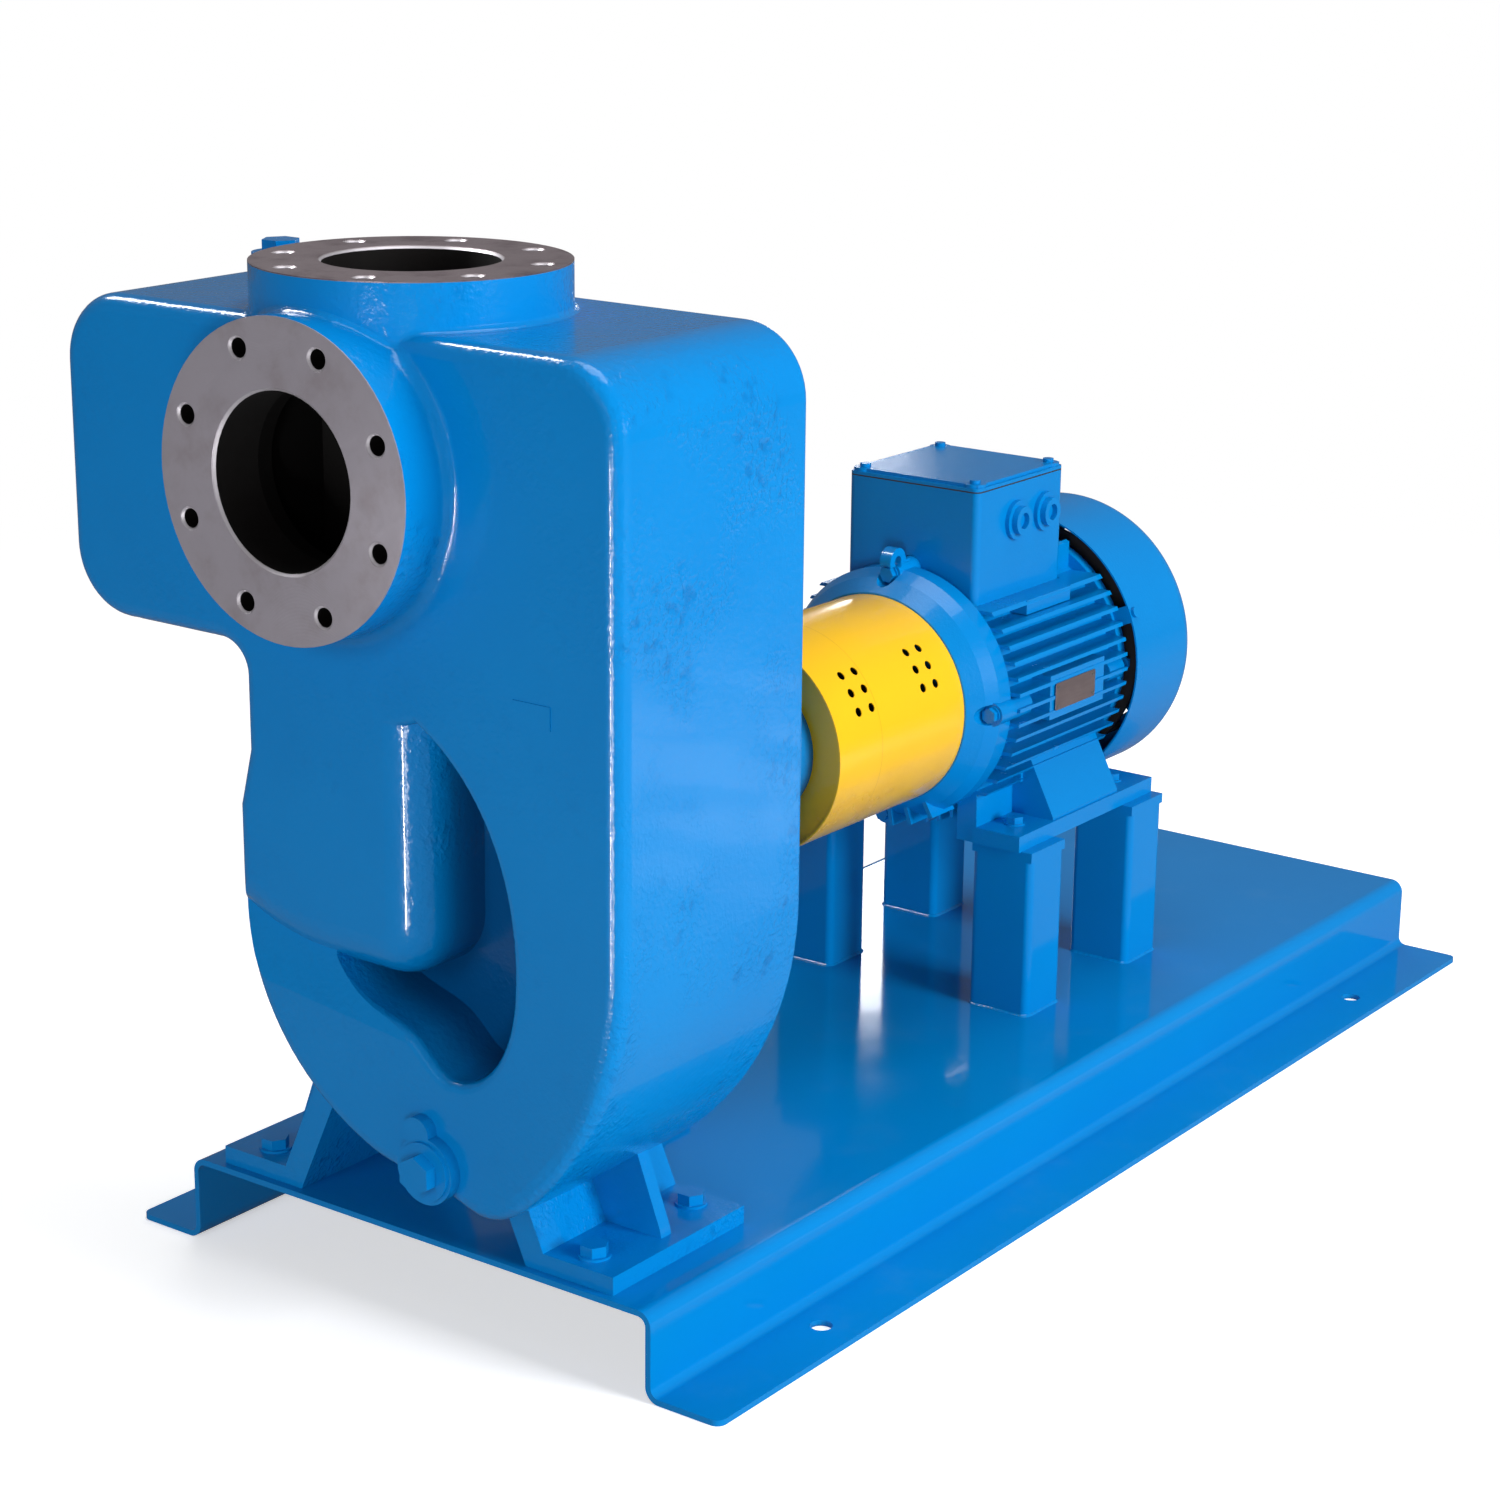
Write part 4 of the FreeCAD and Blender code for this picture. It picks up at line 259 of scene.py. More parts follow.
# %% [markdown]
# Colours.
# The set is painted one strong sky blue, and only the guard is yellow. A colour could be typed as
# Blender's own linear values, but those are hard to picture. So colours are written as the eye
# reads them on a screen, and one function turns them into linear values.

# %% Name the colours
def screen_colour(red, green, blue):
    def linear(channel):
        value = channel / 255.0
        return value / 12.92 if value <= 0.04045 else ((value + 0.055) / 1.055) ** 2.4
    return linear(red), linear(green), linear(blue)


sky_blue = screen_colour(0, 122, 194)
deep_blue = screen_colour(0, 90, 156)
pale_blue = screen_colour(2, 132, 204)
# Navy for the painted shade deep in the casing's pocket.
pocket_shade_blue = screen_colour(0, 46, 96)
guard_yellow = screen_colour(240, 186, 22)
dull_yellow = screen_colour(196, 142, 18)
bare_iron = screen_colour(176, 170, 180)
warm_iron = screen_colour(150, 138, 142)
brown_iron = screen_colour(92, 78, 84)
# Near-black for painted shade in holes, bores and hollows.
painted_shade_black = screen_colour(13, 10, 10)
print("blue", [round(value, 3) for value in sky_blue])

# %% [markdown]
# Blue paint over a sand casting.
# Sprayed enamel is smooth and glossy, but it can't hide what is under it. The sand leaves soft
# lumps a few centimetres wide and a fine grain. The paint adds drops that dried too soon, dents
# where it sank in, and an uneven bead along each rounded edge. Each could be modelled, at the cost
# of millions of faces. As layers of height in one bump, from wide to narrow, they cost nothing.

# %% Paint the castings
lump_size = 0.060
cast_grain_size = 0.0075
spray_patch_size = 0.12
drop_size = 0.0050
dent_size = 0.017
edge_bead_size = 0.008
cast_relief = 0.0011


def cast_height(finish):
    lumps = finish.speckle(lump_size, detail=2.0)
    grain = finish.speckle(cast_grain_size, detail=3.0, rough=0.6)
    # The drops gather on the sides, where the spray hit last, and are dense in some patches only.
    side = finish.facing()[0].abs().ramp(0.55, 0.95)
    patches = finish.speckle(spray_patch_size, detail=2.0).ramp(0.42, 0.60) * (0.20 + side * 0.80)
    drops = finish.speckle(drop_size, detail=1.0).ramp(0.40, 0.70) * (0.10 + patches * 0.90)
    dents = finish.speckle(dent_size, detail=1.0).ramp(0.58, 0.76) * patches
    # On a rounded edge no part of the normal is near 1.
    along_x, along_y, along_z = [part.abs() for part in finish.facing()]
    edge = (1 - along_x.at_least(along_y).at_least(along_z)).ramp(0.02, 0.16)
    beading = finish.speckle(edge_bead_size, detail=2.0) * edge
    height = lumps * 0.85 + grain * (0.10 + side * 0.22) + drops * 0.60 - dents * 0.60 + beading * 0.75
    return height, dents


def cast_paint(finish, painted_shade=None):
    # Painted shade: this mask says how deep a place lies in the casing's pocket, where the paint darkens.
    height, dents = cast_height(finish)
    drift = finish.speckle(0.22, detail=2.0).ramp(0.3, 0.7)
    colour = finish.mixed(drift * 0.35, sky_blue, pale_blue)
    # Painted shade: the pocket's paint turns navy the deeper it lies.
    if painted_shade is not None:
        colour = finish.mixed(painted_shade * 0.8, colour, pocket_shade_blue)
    # Painted shade: the paint is darker in the dents.
    colour = finish.mixed(dents * 0.40, colour, deep_blue)
    rough = 0.16 + finish.speckle(0.03) * 0.10
    return finish.surface(colour, roughness=rough, normal=finish.bumped(height, cast_relief),
                          coat_weight=0.35, coat_roughness=0.04, specular_ior_level=0.20)


def make_cast_blue():
    finish = Finish("cast_blue")
    return finish.done(cast_paint(finish))


cast_blue = make_cast_blue()
print("cast blue has", len(cast_blue.node_tree.nodes), "nodes")

# %% [markdown]
# Where the casing is not painted.
# Both pipe flanges are faced on a lathe after the casting is poured, so they are bare iron with fine
# rings; their bolt holes and the water side are painted near-black, as painted shade. The faces could
# be picked out one by one, but the casing is one mesh whose faces may be numbered otherwise after a
# change.
# So the finish is chosen by place. For each flange one number, sink, says how far a place lies
# behind the faced plane.

# %% Find the machined faces
flange_radius = 0.1425
bore_radius = mounts["suction_bore"]["dims"]["r_mm"] * mm
chamfer_depth = 0.0028
suction_boss = 0.055
discharge_boss = 0.044
suction_bore_run = 0.090
discharge_bore_run = 0.050
hole_rim = 0.004
ring_scale = 260.0
ring_wander = 0.0012


def ring_marks(finish, across, along):
    # Very fine grooves left by the facing tool, round the flange's own axis.
    radius = (across * across + along * along) ** 0.5
    wander = finish.speckle(0.04) * ring_wander
    place = finish.node("ShaderNodeCombineXYZ", {}, {0: radius + wander})
    inputs = {"Vector": place, "Scale": ring_scale}
    marks = finish.node("ShaderNodeTexWave", {"wave_type": "BANDS"}, inputs, "Fac")
    return marks, radius


def flange_masks(finish, sink, across, along, boss, bore_run):
    marks, radius = ring_marks(finish, across, along)
    # The holes and bores are what lies behind the flat face but well inside its rim.
    flat = sink.below(0.0004)
    hole = sink.below(boss - 0.001) * radius.below(flange_radius - hole_rim) * (1 - flat)
    below_chamfer = sink.above(chamfer_depth)
    # Past the chamfer, holes and bores are painted near-black later, as painted shade.
    return {
        "marks": marks * flat,
        "face": sink.below(0.0011) * radius.below(flange_radius + 0.0008),
        "hole": hole,
        "wet_hole": hole * below_chamfer,
        "bore": radius.below(bore_radius + 0.001) * sink.below(boss + bore_run) * below_chamfer,
    }


print("flange radius", flange_radius, "bore radius", round(bore_radius, 4))

# %% [markdown]
# The water side of the casing.
# Inside are a tank under the top and a passage that leads down from the suction flange. Both show
# through the bores, so their walls get the same near-black painted shade. A place is inside when it
# lies deeper than one wall behind the outer surface, and that depth follows from the casing's own
# rounded outline: the distance past the corner's centre, taken both ways at once.

# %% Find the inner walls
casing_front = suction.y + suction_boss
casing_top = discharge.z - discharge_boss
casing_depth = 0.263
casing_back = casing_front + casing_depth
wall = 0.016
corner = 0.065
tank_half = (casing_high[0] - casing_low[0]) / 2
tank_drop = 0.15
way_left = -0.0855
way_right = 0.0885
way_low = shaft_z - 0.0535
way_corner = 0.0415
way_depth = 0.087
margin = 0.001


def inner_walls(x, y, z):
    beside = (x.abs() - (tank_half - corner)).at_least(0.0)
    over = (z - (casing_top - corner)).at_least(0.0)
    sunk = (beside * beside + over * over) ** 0.5
    depth = y.above(casing_front + wall - margin) * y.below(casing_back - wall + margin)
    tank = sunk.below(corner - wall + margin) * z.above(suction.z - tank_drop)
    right_of = (x - (way_right - way_corner)).at_least(0.0)
    under = (way_low + way_corner - z).at_least(0.0)
    way = (right_of * right_of + under * under).below(way_corner * way_corner, 0.00001)
    way = way * x.above(way_left) * z.below(suction.z + bore_radius + 2 * margin)
    way = way * y.below(casing_front + way_depth)
    return depth * tank.at_least(way)


print("casing front", round(casing_front, 3), "top", round(casing_top, 3), "back", round(casing_back, 3))

# %% [markdown]
# The casing's own finish.
# A casting like this has a deep pocket beside the suction passage. Its paint is darkened the deeper
# it lies, as painted shade for the pocket. Then the two surfaces, paint and iron, are made whole and
# blended by one mask. Two materials on one mesh would also do, but they would meet along the mesh's
# edges and not at the tool's own circle.

# %% Finish the casing
pocket_left = -0.020
pocket_right = 0.206
pocket_low = shaft_z - 0.146
pocket_high = shaft_z + 0.184
pocket_start = 0.012
pocket_dark = 0.075
pocket_end = 0.10
# A pale tint for the painted highlight on the holes' chamfers.
chamfer_painted_highlight = (0.82, 0.80, 0.82)


# Painted shade: 0 at the pocket's mouth, rising to full deep inside it.
def pocket_painted_shade(x, y, z):
    deep = y.ramp(casing_front + pocket_start, casing_front + pocket_dark)
    deep = deep * y.below(casing_front + pocket_end)
    across = x.above(pocket_left) * x.below(pocket_right)
    return deep * across * z.above(pocket_low) * z.below(pocket_high)


def machined_iron(finish, front, top, deep_hole_shade, inside):
    grain = finish.speckle(0.012, detail=4.0, rough=0.6)
    stain = finish.speckle(0.05, detail=4.0, rough=0.65).ramp(0.45, 0.75)
    front_colour = finish.mixed(stain * 0.5, bare_iron, warm_iron)
    top_colour = finish.mixed(0.45 + stain * 0.5, warm_iron, brown_iron)
    colour = finish.mixed(top["face"], front_colour, top_colour)
    # Painted highlight: the holes' chamfers are tinted pale.
    chamfer = front["hole"].at_least(top["hole"]) * (1 - deep_hole_shade)
    colour = finish.mixed(chamfer * 0.35, colour, chamfer_painted_highlight)
    # Painted shade: deep holes, bores and inner walls are painted near-black.
    colour = finish.mixed(deep_hole_shade.at_least(inside), colour, painted_shade_black)
    rough = 0.34 + grain * 0.16 + inside * 0.25
    height = (front["marks"] + top["marks"]) * 0.25 + grain * 0.5
    return finish.surface(colour, metallic=0.55 - deep_hole_shade * 0.5, roughness=rough,
                          normal=finish.bumped(height, 0.0004))


def make_casing_finish():
    finish = Finish("casing_blue_and_bare")
    x, y, z = finish.axes()
    x = x - line_x
    front = flange_masks(finish, y - suction.y, x, z - suction.z, suction_boss, suction_bore_run)
    top = flange_masks(finish, discharge.z - z, x, y - discharge.y, discharge_boss, discharge_bore_run)
    deep_hole_shade = front["wet_hole"].at_least(top["wet_hole"])
    inside = inner_walls(x, y, z).at_least(front["bore"]).at_least(top["bore"])
    bare = machined_iron(finish, front, top, deep_hole_shade, inside)
    share = front["face"].at_least(top["face"]).at_least(inside)
    share = share.at_least(front["hole"]).at_least(top["hole"])
    return finish.done(finish.blend(share, cast_paint(finish, pocket_painted_shade(x, y, z)), bare))


casing_finish = make_casing_finish()
print("casing finish has", len(casing_finish.node_tree.nodes), "nodes")

# %% [markdown]
# Blue paint over smooth steel.
# Rolled sheet and machined motor parts take the same enamel with far less relief: only the
# orange peel, a slow wave in the sheet and a few specks of dust. The base is the glossiest thing
# in the set, because it is flat and lies face up. Each could be a material written out by itself,
# but they differ only in peel, roughness and dust, so one function makes both.

# %% Paint the sheet and the motor
sheet_relief = 0.0004
dust_grey = screen_colour(120, 165, 195)


def smooth_blue(name, peel_height, base_rough, dust):
    finish = Finish(name)
    wave = finish.speckle(0.35, detail=1.0)
    peel = finish.speckle(0.0032, detail=2.0)
    specks = (1 - finish.cells(0.03).ramp(0.0004, 0.0011)) * finish.speckle(0.2).ramp(0.5, 0.65)
    drift = finish.speckle(0.3, detail=3.0).ramp(0.3, 0.7)
    colour = finish.mixed(drift * 0.3, sky_blue, pale_blue)
    up = finish.facing()[2].ramp(0.6, 1.0)
    film = finish.speckle(0.09, detail=5.0, rough=0.65).ramp(0.5, 0.85) * up * dust
    colour = finish.mixed(film, colour, dust_grey)
    rough = base_rough + finish.speckle(0.06, detail=3.0) * 0.10 + film * 0.5
    height = wave * 2.2 + peel * peel_height + specks * 1.2
    return finish.done(finish.surface(colour, roughness=rough, normal=finish.bumped(height, sheet_relief),
                                      coat_weight=0.25, coat_roughness=0.03, specular_ior_level=0.22))


sheet_blue = smooth_blue("sheet_blue", 0.12, 0.04, 0.05)
motor_blue = smooth_blue("motor_blue", 0.55, 0.20, 0.06)
print("smooth blues", sheet_blue.name, motor_blue.name)

# %% [markdown]
# Yellow paint on the coupling guard.
# Safety yellow goes on thick over thin rolled sheet. It has an even gloss, a slight orange peel,
# and in patches it turns duller and browner towards the bottom of the shell. The two halves meet in
# a fine dark line, and the inside of the shell is painted near-black as painted shade. The line
# could be a real gap, but it is thinner than the sheet, so it is drawn where the first half ends.

# %% Paint the guard
seam_half = 0.0005
guard_radius = guard_high[0] - line_x
sheet_depth = 0.0010
end_plate_reach = 0.012


def make_guard_paint():
    finish = Finish("guard_yellow")
    x, y, z = finish.axes()
    peel = finish.speckle(0.003, detail=2.0)
    low_down = 1 - z.ramp(shaft_z - 0.11, shaft_z + 0.02)
    # In patches, duller and browner towards the bottom of the shell.
    low_tint = finish.speckle(0.05, detail=4.0).ramp(0.35, 0.75) * low_down
    colour = finish.mixed(low_tint * 0.55, guard_yellow, dull_yellow)
    seam = (y - guard_high[1]).abs().below(seam_half)
    across = x - line_x
    up = z - shaft_z
    inner = ((across * across + up * up) ** 0.5).below(guard_radius - sheet_depth)
    colour = finish.mixed(seam * 0.55, colour, dull_yellow)
    # Painted shade: the inside of the shell is painted near-black.
    colour = finish.mixed(inner * y.above(guard_low[1] + end_plate_reach), colour, painted_shade_black)
    rough = 0.18 + finish.speckle(0.04, detail=3.0) * 0.12 + low_tint * 0.08
    height = peel * 0.3 + finish.speckle(0.12) * 2.0
    return finish.done(finish.surface(colour, roughness=rough, normal=finish.bumped(height, sheet_relief),
                                      coat_weight=0.3, coat_roughness=0.07))


guard_paint = make_guard_paint()
print("guard paint ready")

# %% [markdown]
# Bare metals and the parts inside.
# Shafts are ground, screws are zinc plated, the impeller is as cast, and the stator is a stack of
# thin sheets. Each could have a material of its own, but at this size only the colour, the polish,
# the size of the grain and its direction tell them apart. So one function takes those.

# %% Make the metals
def bare_metal(name, light, dark, roughness, grain_size, relief, metallic=1.0, direction=(1.0, 1.0, 1.0)):
    finish = Finish(name)
    along = finish.stretched(*direction)
    grain = finish.speckle(grain_size, detail=4.0, rough=0.6, source=along)
    patch = finish.speckle(grain_size * 6, detail=2.0)
    colour = finish.mixed(grain * 0.5 + patch * 0.5, light, dark)
    rough = roughness + grain * 0.14
    return finish.done(finish.surface(colour, metallic=metallic, roughness=rough,
                                      normal=finish.bumped(grain, relief)))


zinc = bare_metal("zinc_plate", screen_colour(190, 188, 182), screen_colour(140, 140, 142),
                  0.28, 0.002, 0.00005)
ground_steel = bare_metal("ground_steel", screen_colour(186, 186, 190), screen_colour(140, 142, 148),
                          0.18, 0.0015, 0.00003, direction=(1.0, 9.0, 1.0))
bearing_steel = bare_metal("bearing_steel", screen_colour(205, 205, 210), screen_colour(160, 162, 168),
                           0.10, 0.002, 0.00001)
rough_iron = bare_metal("rough_iron", screen_colour(98, 94, 92), screen_colour(62, 58, 56),
                        0.45, 0.004, 0.0006, metallic=0.7)
laminations = bare_metal("laminations", screen_colour(120, 120, 124), screen_colour(70, 70, 76),
                         0.4, 0.0009, 0.0002, direction=(0.2, 1.0, 0.2))
copper = bare_metal("varnished_copper", screen_colour(186, 104, 58), screen_colour(120, 58, 30),
                    0.3, 0.0018, 0.0004, direction=(1.0, 3.0, 1.0))
turned_brass = bare_metal("turned_brass", screen_colour(206, 168, 92), screen_colour(160, 120, 60),
                          0.22, 0.002, 0.00004)
plate_metal = bare_metal("name_plate_metal", screen_colour(196, 178, 178), screen_colour(158, 140, 142),
                         0.34, 0.004, 0.00006, direction=(1.0, 0.1, 1.0))
print("metals ready")

# %% [markdown]
# Rubber, plastic, ceramic and glass.
# The small trades of the set: a red rubber spider, black gaskets and fan, a brown terminal board,
# a pale seal face and the oil level glass. Moulded parts are not flat in colour either, so each
# has a little mottling and a faint texture. The glass could be clear all through, but it would
# then show the empty seat behind it, so it is only partly clear and its lower half is oil.

# %% Make the other finishes
def moulded(name, colour, shade, roughness, grain_size=0.0015, relief=0.0001):
    finish = Finish(name)
    grain = finish.speckle(grain_size, detail=3.0)
    cloud = finish.speckle(0.02, detail=3.0)
    tint = finish.mixed(cloud, colour, shade)
    rough = roughness + grain * 0.15
    return finish.done(finish.surface(tint, roughness=rough, normal=finish.bumped(grain, relief)))


def make_sight_glass():
    finish = Finish("oil_glass")
    z = finish.axes()[2]
    low_tint = z.below(shaft_z + 0.001, 0.0006)
    tint = finish.mixed(low_tint, screen_colour(226, 232, 230), screen_colour(196, 150, 60))
    haze = finish.speckle(0.004, detail=3.0)
    return finish.done(finish.surface(tint, roughness=0.06 + haze * 0.06, transmission_weight=0.35,
                                      normal=finish.bumped(haze, 0.00005)))


black_rubber = moulded("black_rubber", (0.018, 0.018, 0.019), (0.03, 0.03, 0.032), 0.55)
red_rubber = moulded("red_rubber", screen_colour(168, 44, 34), screen_colour(128, 30, 26), 0.5)
black_plastic = moulded("black_plastic", (0.02, 0.02, 0.022), (0.04, 0.04, 0.042), 0.42)
board_plastic = moulded("board_plastic", screen_colour(120, 82, 56), screen_colour(92, 62, 44), 0.4)
ceramic = moulded("seal_ceramic", screen_colour(226, 222, 210), screen_colour(206, 200, 188), 0.16,
                  relief=0.00002)
sight_glass = make_sight_glass()
print("moulded finishes ready")

# %% [markdown]
# Give every node its finish.
# A fitter would paint or plate each part before it is put together. Here the record already groups
# the nodes by material slot, so a table from slot to finish covers them all. The casing gets its
# own, because it is the only one that is both painted and machined.

# %% Dress the nodes
finish_of_slot = {
    "blue_cast": cast_blue, "blue_sheet": sheet_blue, "blue_motor": motor_blue,
    "yellow_guard": guard_paint, "plated_steel": zinc, "shaft_steel": ground_steel,
    "bearing_steel": bearing_steel, "grey_iron": rough_iron, "seal_ceramic": ceramic,
    "black_rubber": black_rubber, "red_rubber": red_rubber, "core_steel": laminations,
    "copper_winding": copper, "black_plastic": black_plastic, "board_plastic": board_plastic,
    "brass": turned_brass, "sight_glass": sight_glass,
}


def dress(node, material):
    node.data.materials.clear()
    node.data.materials.append(material)


for subpart in frame["record"]["subparts"]:
    dress(frame["nodes"][subpart["node"]], finish_of_slot[subpart["material_slot"]])
dress(frame["nodes"]["pump_casing"], casing_finish)

# %% [markdown]
# Two helpers for the added pieces.
# Every added piece is a mesh that rides on the standing part of the set and takes one of the
# finishes made above, and the square ones share one outline, a rectangle with rounded corners. Both
# could be made with Blender's operators, but those need a selection and a context.
# Points and faces worked out in Python need neither, and give the same mesh each time.

# %% Make a piece and a rounded outline
def make_piece(name, points, faces, material, smooth=True):
    mesh = bpy.data.meshes.new(name)
    mesh.from_pydata(points, [], faces)
    mesh.update()
    for polygon in mesh.polygons:
        polygon.use_smooth = smooth
    mesh.materials.append(material)
    piece = bpy.data.objects.new(name, mesh)
    bpy.context.collection.objects.link(piece)
    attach(piece, "housing")
    return piece


def rounded_loop(half_x, half_y, radius, spacing):
    # Points and outward directions round a rectangle with rounded corners, at an even spacing.
    loop = []
    centres = [(half_x - radius, half_y - radius, 0.0), (radius - half_x, half_y - radius, 90.0),
               (radius - half_x, radius - half_y, 180.0), (half_x - radius, radius - half_y, 270.0)]
    for index, (x, y, start) in enumerate(centres):
        turns = max(3, int(radius * math.pi / 2 / spacing))
        for turn in range(turns + 1):
            angle = math.radians(start + 90.0 * turn / turns)
            out = Vector((math.cos(angle), math.sin(angle), 0.0))
            loop.append((Vector((x, y, 0.0)) + out * radius, out))
        next_x, next_y, next_start = centres[(index + 1) % 4]
        out = Vector((math.cos(math.radians(next_start)), math.sin(math.radians(next_start)), 0.0))
        first = loop[-1][0]
        last = Vector((next_x, next_y, 0.0)) + out * radius
        count = max(1, int((last - first).length / spacing))
        for step in range(1, count):
            loop.append((first.lerp(last, step / count), out))
    return loop


print("helpers ready")

# %% [markdown]
# Weld beads round the motor posts.
# The four square posts are welded to the base. A bead is a quarter-round strip with a slow wander
# and close ripples. A curve with a round bevel would give the strip but not the ripples, so it is
# swept one by one: each place on the rounded outline has a point, an outward direction and a slightly
# different radius.

# %% Sweep the beads
post_half = (0.0385, 0.035)
post_round = 0.008
bead_radius = 0.0026
bead_steps = 6
bead_spacing = 0.0012
bead_sink = 0.0003
bead_flattening = 0.16
wander_share = 0.22
wander_scale = 45.0
ripple_share = 0.07
ripple_pace = 1.15
ripple_shift = 3.0


def bead_point(step, size, out):
    # A point of the bead's quarter-round section, sunk a little into both plates.
    angle = math.radians(90.0 * step / bead_steps)
    reach = size * (1.0 - bead_flattening * math.sin(2.0 * angle))
    aside = out * (reach * math.cos(angle) - bead_sink)
    return aside + Vector((0.0, 0.0, reach * math.sin(angle) - bead_sink))


def make_bead(name, centre, half_x, half_y, radius, material):
    loop = rounded_loop(half_x, half_y, post_round, bead_spacing)
    points = []
    for index, (place, out) in enumerate(loop):
        here = centre + place
        wander = noise.noise(here * wander_scale)
        ripple = math.sin(index * ripple_pace + wander * ripple_shift)
        size = radius * (1.0 + wander_share * wander + ripple_share * ripple)
        points += [here + bead_point(step, size, out) for step in range(bead_steps + 1)]
    faces = []
    row = bead_steps + 1
    for index in range(len(loop)):
        this_row = index * row
        next_row = (index + 1) % len(loop) * row
        for step in range(bead_steps):
            faces.append((this_row + step, next_row + step, next_row + step + 1, this_row + step + 1))
    return make_piece(name, points, faces, material)


post_xs = [post_low[0] + post_half[0], post_high[0] - post_half[0]]
post_ys = [post_low[1] + post_half[1], post_high[1] - post_half[1]]
foot_places = [Vector((x, y, base_top)) for y in post_ys for x in post_xs]
for number, foot in enumerate(foot_places, start=1):
    make_bead("post_foot_weld_" + str(number), foot, post_half[0], post_half[1],
              bead_radius, sheet_blue)
print("weld beads", len(foot_places))

# %% [markdown]
# The motor's plate.
# A motor carries a small bare plate on a cast pad on its right side. This one is blank. A scaled
# cube would do from afar, but the real plate has round corners and a soft edge that catches the
# light, so its outline is the same rounded loop as the bead's, in three levels. Its place comes
# from the pad itself: the outermost face of the motor frame at the shaft's height.

# %% Cut the plate
plate_length = 0.084
plate_height = 0.031
plate_thickness = 0.0008
plate_corner = 0.003
plate_spacing = 0.001
soft_edge_share = 0.3
pad_reach = 0.012
flat_within = 0.0005
seat_sink = 0.0001


def pad_face(node, height, reach):
    # The outermost x, and the y range, of the node's points near one height.
    near = [vertex.co for vertex in node.data.vertices if abs(vertex.co.z - height) < reach]
    out = max(point.x for point in near)
    along = [point.y for point in near if point.x > out - flat_within]
    return out, min(along), max(along)


def make_plate(name, centre, length, height, thickness, radius, material):
    loop = rounded_loop(length / 2, height / 2, radius, plate_spacing)
    ring = [(place.x, place.y) for place, out in loop]
    count = len(ring)
    points = []
    soft_edge = thickness * soft_edge_share
    for level, inset in ((0.0, 0.0), (thickness - soft_edge, 0.0), (thickness, soft_edge)):
        for u, v in ring:
            scale = 1.0 - inset / (height / 2)
            points.append(centre + Vector((level, u * scale, v * scale)))
    faces = []
    for level in range(2):
        for index in range(count):
            after = (index + 1) % count
            faces.append((level * count + index, level * count + after,
                          (level + 1) * count + after, (level + 1) * count + index))
    faces.append(tuple(range(2 * count, 3 * count)))
    faces.append(tuple(reversed(range(count))))
    return make_piece(name, points, faces, material, smooth=False)


pad_x, pad_start, pad_end = pad_face(frame["nodes"]["motor_frame"], shaft_z, pad_reach)
plate_centre = Vector((pad_x - seat_sink, (pad_start + pad_end) / 2, shaft_z))
print("plate pad at", round(pad_x, 4), "from", round(pad_start, 3), "to", round(pad_end, 3))
make_plate("motor_plate", plate_centre, plate_length, plate_height, plate_thickness, plate_corner,
           plate_metal)

# %% [markdown]
# The plate's rivets.
# A small plate is held by drive rivets with low round heads. A flattened sphere would hide half of
# its faces in the plate, so each head is half a sphere, made of rings that widen from the top and
# closed by one flat face.

# %% Rivet the plate on
rivet_radius = 0.0021
rivet_height = 0.0011
rivet_inset = 0.005
rivet_rings = 5
rivet_sides = 20


def make_dome(name, centre, radius, height, material):
    # A low round head on a face that looks along +X.
    points = [centre + Vector((height, 0.0, 0.0))]
    for ring in range(1, rivet_rings + 1):
        angle = math.radians(90.0 * ring / rivet_rings)
        for step in range(rivet_sides):
            turn = 2.0 * math.pi * step / rivet_sides
            reach = radius * math.sin(angle)
            points.append(centre + Vector((height * math.cos(angle), reach * math.cos(turn),
                                           reach * math.sin(turn))))
    faces = [(0, 1 + step, 1 + (step + 1) % rivet_sides) for step in range(rivet_sides)]
    for ring in range(rivet_rings - 1):
        low = 1 + ring * rivet_sides
        high = low + rivet_sides
        for step in range(rivet_sides):
            after = (step + 1) % rivet_sides
            faces.append((low + step, high + step, high + after, low + after))
    last_ring = 1 + (rivet_rings - 1) * rivet_sides
    faces.append(tuple(last_ring + step for step in reversed(range(rivet_sides))))
    return make_piece(name, points, faces, material)


rivet_y = plate_length / 2 - rivet_inset
rivet_z = plate_height / 2 - rivet_inset
rivet_places = [(y, z) for y in (-rivet_y, rivet_y) for z in (-rivet_z, rivet_z)]
for number, (y, z) in enumerate(rivet_places, start=1):
    place = plate_centre + Vector((plate_thickness - seat_sink, y, z))
    make_dome("plate_rivet_" + str(number), place, rivet_radius, rivet_height, zinc)
print("rivets", len(rivet_places))

# %% [markdown]
# The floor.
# The set stands on a plain white sweep. It could be white simply because it is lit hard, but then
# it would throw that light up on the set. So its own colour is grey, and only the camera, gloss
# and glass see it white. Gloss sees it brightest behind the set on the right, in a painted patch of
# light streaked as if a window lit it. Far away, where no lamp reaches, it turns into plain white.

# %% Lay the floor
floor_size = 60.0
floor_glow = 0.5
floor_grey = 0.40
floor_white = (0.9, 0.9, 0.9)
near_floor = 1.3
far_floor = 3.2
gloss_share = 0.10
gloss_grey = 0.4
window_share = 0.95
window_place = (1.50, 0.95)
window_reach = (0.20, 0.90)
window_streak = 0.16
plain_white = (1.0, 1.0, 1.0, 1.0)


# Painted light: a streaked bright patch on the floor that only gloss sees.
def window_light(finish, x, y):
    aside = x - window_place[0]
    behind = y - window_place[1]
    patch = 1 - ((aside * aside + behind * behind) ** 0.5).ramp(*window_reach)
    return patch * (0.35 + finish.speckle(window_streak, detail=1.0).ramp(0.42, 0.58) * 0.80)


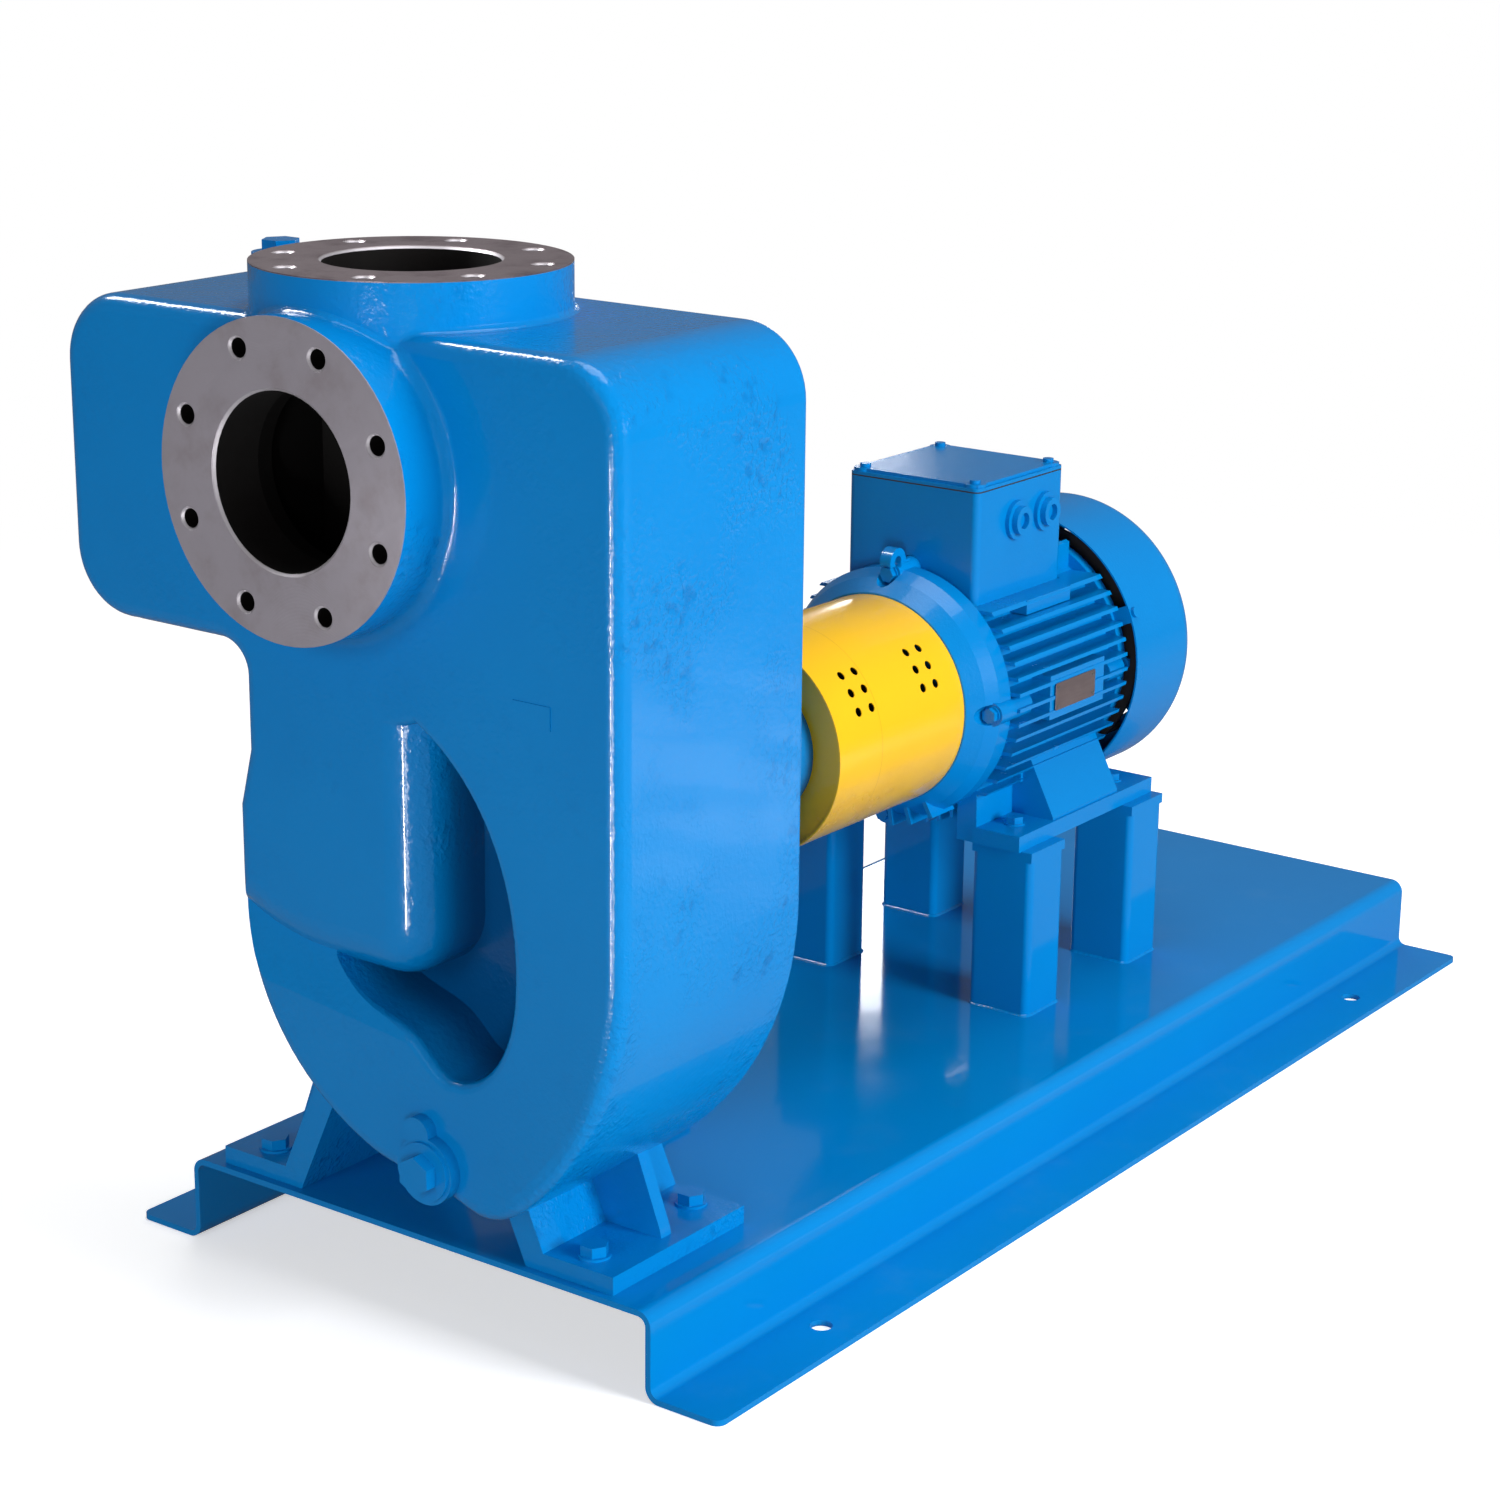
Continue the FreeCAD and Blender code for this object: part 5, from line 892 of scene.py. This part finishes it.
def make_floor_finish():
    finish = Finish("floor_white")
    x, y, z = finish.axes()
    glossy = finish.ray("Is Glossy Ray")
    mirrored = glossy * (gloss_share + window_light(finish, x, y) * (window_share - gloss_share))
    seen = finish.ray("Is Camera Ray").at_least(mirrored).at_least(finish.ray("Is Transmission Ray"))
    grey = floor_grey * (1 - glossy * (1 - gloss_grey))
    matt = finish.surface(grey, roughness=0.95, specular_ior_level=0.0)
    lit = finish.surface(floor_white, roughness=0.95, specular_ior_level=0.0,
                         emission_color=plain_white, emission_strength=floor_glow)
    plain = finish.node("ShaderNodeEmission", {}, {"Color": plain_white, "Strength": 1.0})
    away = ((x * x + y * y) ** 0.5).ramp(near_floor, far_floor)
    return finish.done(finish.blend(seen, matt, finish.blend(away, lit, plain)))


def add_floor():
    mesh = bpy.data.meshes.new("floor")
    half = floor_size / 2
    corners = [(-half, -half, 0.0), (half, -half, 0.0), (half, half, 0.0), (-half, half, 0.0)]
    mesh.from_pydata(corners, [], [(0, 1, 2, 3)])
    mesh.materials.append(make_floor_finish())
    floor = bpy.data.objects.new("floor", mesh)
    bpy.context.collection.objects.link(floor)
    return floor


add_floor()
print("floor laid")

# %% [markdown]
# Lamps and room.
# A shop photographer lights paint with large soft boxes and keeps most of them out of its gloss.
# Plain lamps could do both jobs, but then their mirror images bleach every flat face that meets
# them. A lamp here can be seen by matt surfaces only or by gloss only. So the soft boxes on the
# right, in front and behind give light and nothing else, and only the wide one above is mirrored
# too. Cards that are only mirrored give the sheen on the right side, the bright lines along the
# casing's edges and the pale streak on the base.

# %% Light the set
room_level = 0.07


def light_world(strength):
    finish = Finish("studio", for_world=True)
    seen = finish.ray("Is Camera Ray").at_least(finish.ray("Is Glossy Ray") * gloss_share)
    seen = seen.at_least(finish.ray("Is Transmission Ray"))
    dim = finish.node("ShaderNodeBackground", {}, {"Color": plain_white, "Strength": strength})
    plain = finish.node("ShaderNodeBackground", {}, {"Color": plain_white, "Strength": 1.0})
    bpy.context.scene.world = finish.done(finish.blend(seen, dim, plain))


def add_lamp(name, place, target, size, power, lights=True, mirrors=True):
    data = bpy.data.lights.new(name, "AREA")
    data.shape = "RECTANGLE"
    data.size = size[0]
    data.size_y = size[1]
    data.energy = power
    lamp = bpy.data.objects.new(name, data)
    lamp.visible_camera = False
    lamp.visible_diffuse = lights
    lamp.visible_glossy = mirrors
    bpy.context.collection.objects.link(lamp)
    direction = Vector(target) - Vector(place)
    aim = direction.to_track_quat("-Z", "Y").to_matrix().to_4x4()
    lamp.matrix_world = Matrix.Translation(place) @ aim
    return lamp


light_world(room_level)
add_lamp("right_softbox", (4.2, -0.2, 1.7), (0.0, -0.1, 0.4), (1.4, 2.0), 205.0, mirrors=False)
add_lamp("top_softbox", (0.2, 0.2, 4.4), (0.0, 0.0, 0.4), (2.6, 2.6), 78.0)
add_lamp("camera_strip", (2.7, -4.3, 0.9), (0.0, -0.4, 0.5), (0.5, 1.6), 70.0, mirrors=False)
add_lamp("front_fill", (0.1, -5.0, 1.9), (0.0, -0.6, 0.5), (1.8, 1.6), 56.0, mirrors=False)
add_lamp("back_fill", (-3.0, 3.4, 3.0), (0.0, 0.0, 0.4), (2.6, 1.8), 60.0, mirrors=False)
add_lamp("side_card", (4.2, -0.2, 1.7), (0.0, -0.1, 0.4), (1.4, 2.0), 50.0, lights=False)
add_lamp("edge_strip", (0.30, -1.95, 0.30), (0.2, -0.85, 0.60), (0.035, 0.70), 13.0, lights=False)
add_lamp("top_glint", (-1.95, -0.8, 3.0), (0.0, -0.7, 0.95), (0.40, 1.4), 75.0, lights=False)
add_lamp("low_back_card", (-1.4, 2.0, 0.82), (0.1, 0.0, 0.1), (0.20, 0.4), 2.0, lights=False)
bpy.context.scene.view_settings.view_transform = "Standard"
print("lamps", len(bpy.data.lights))
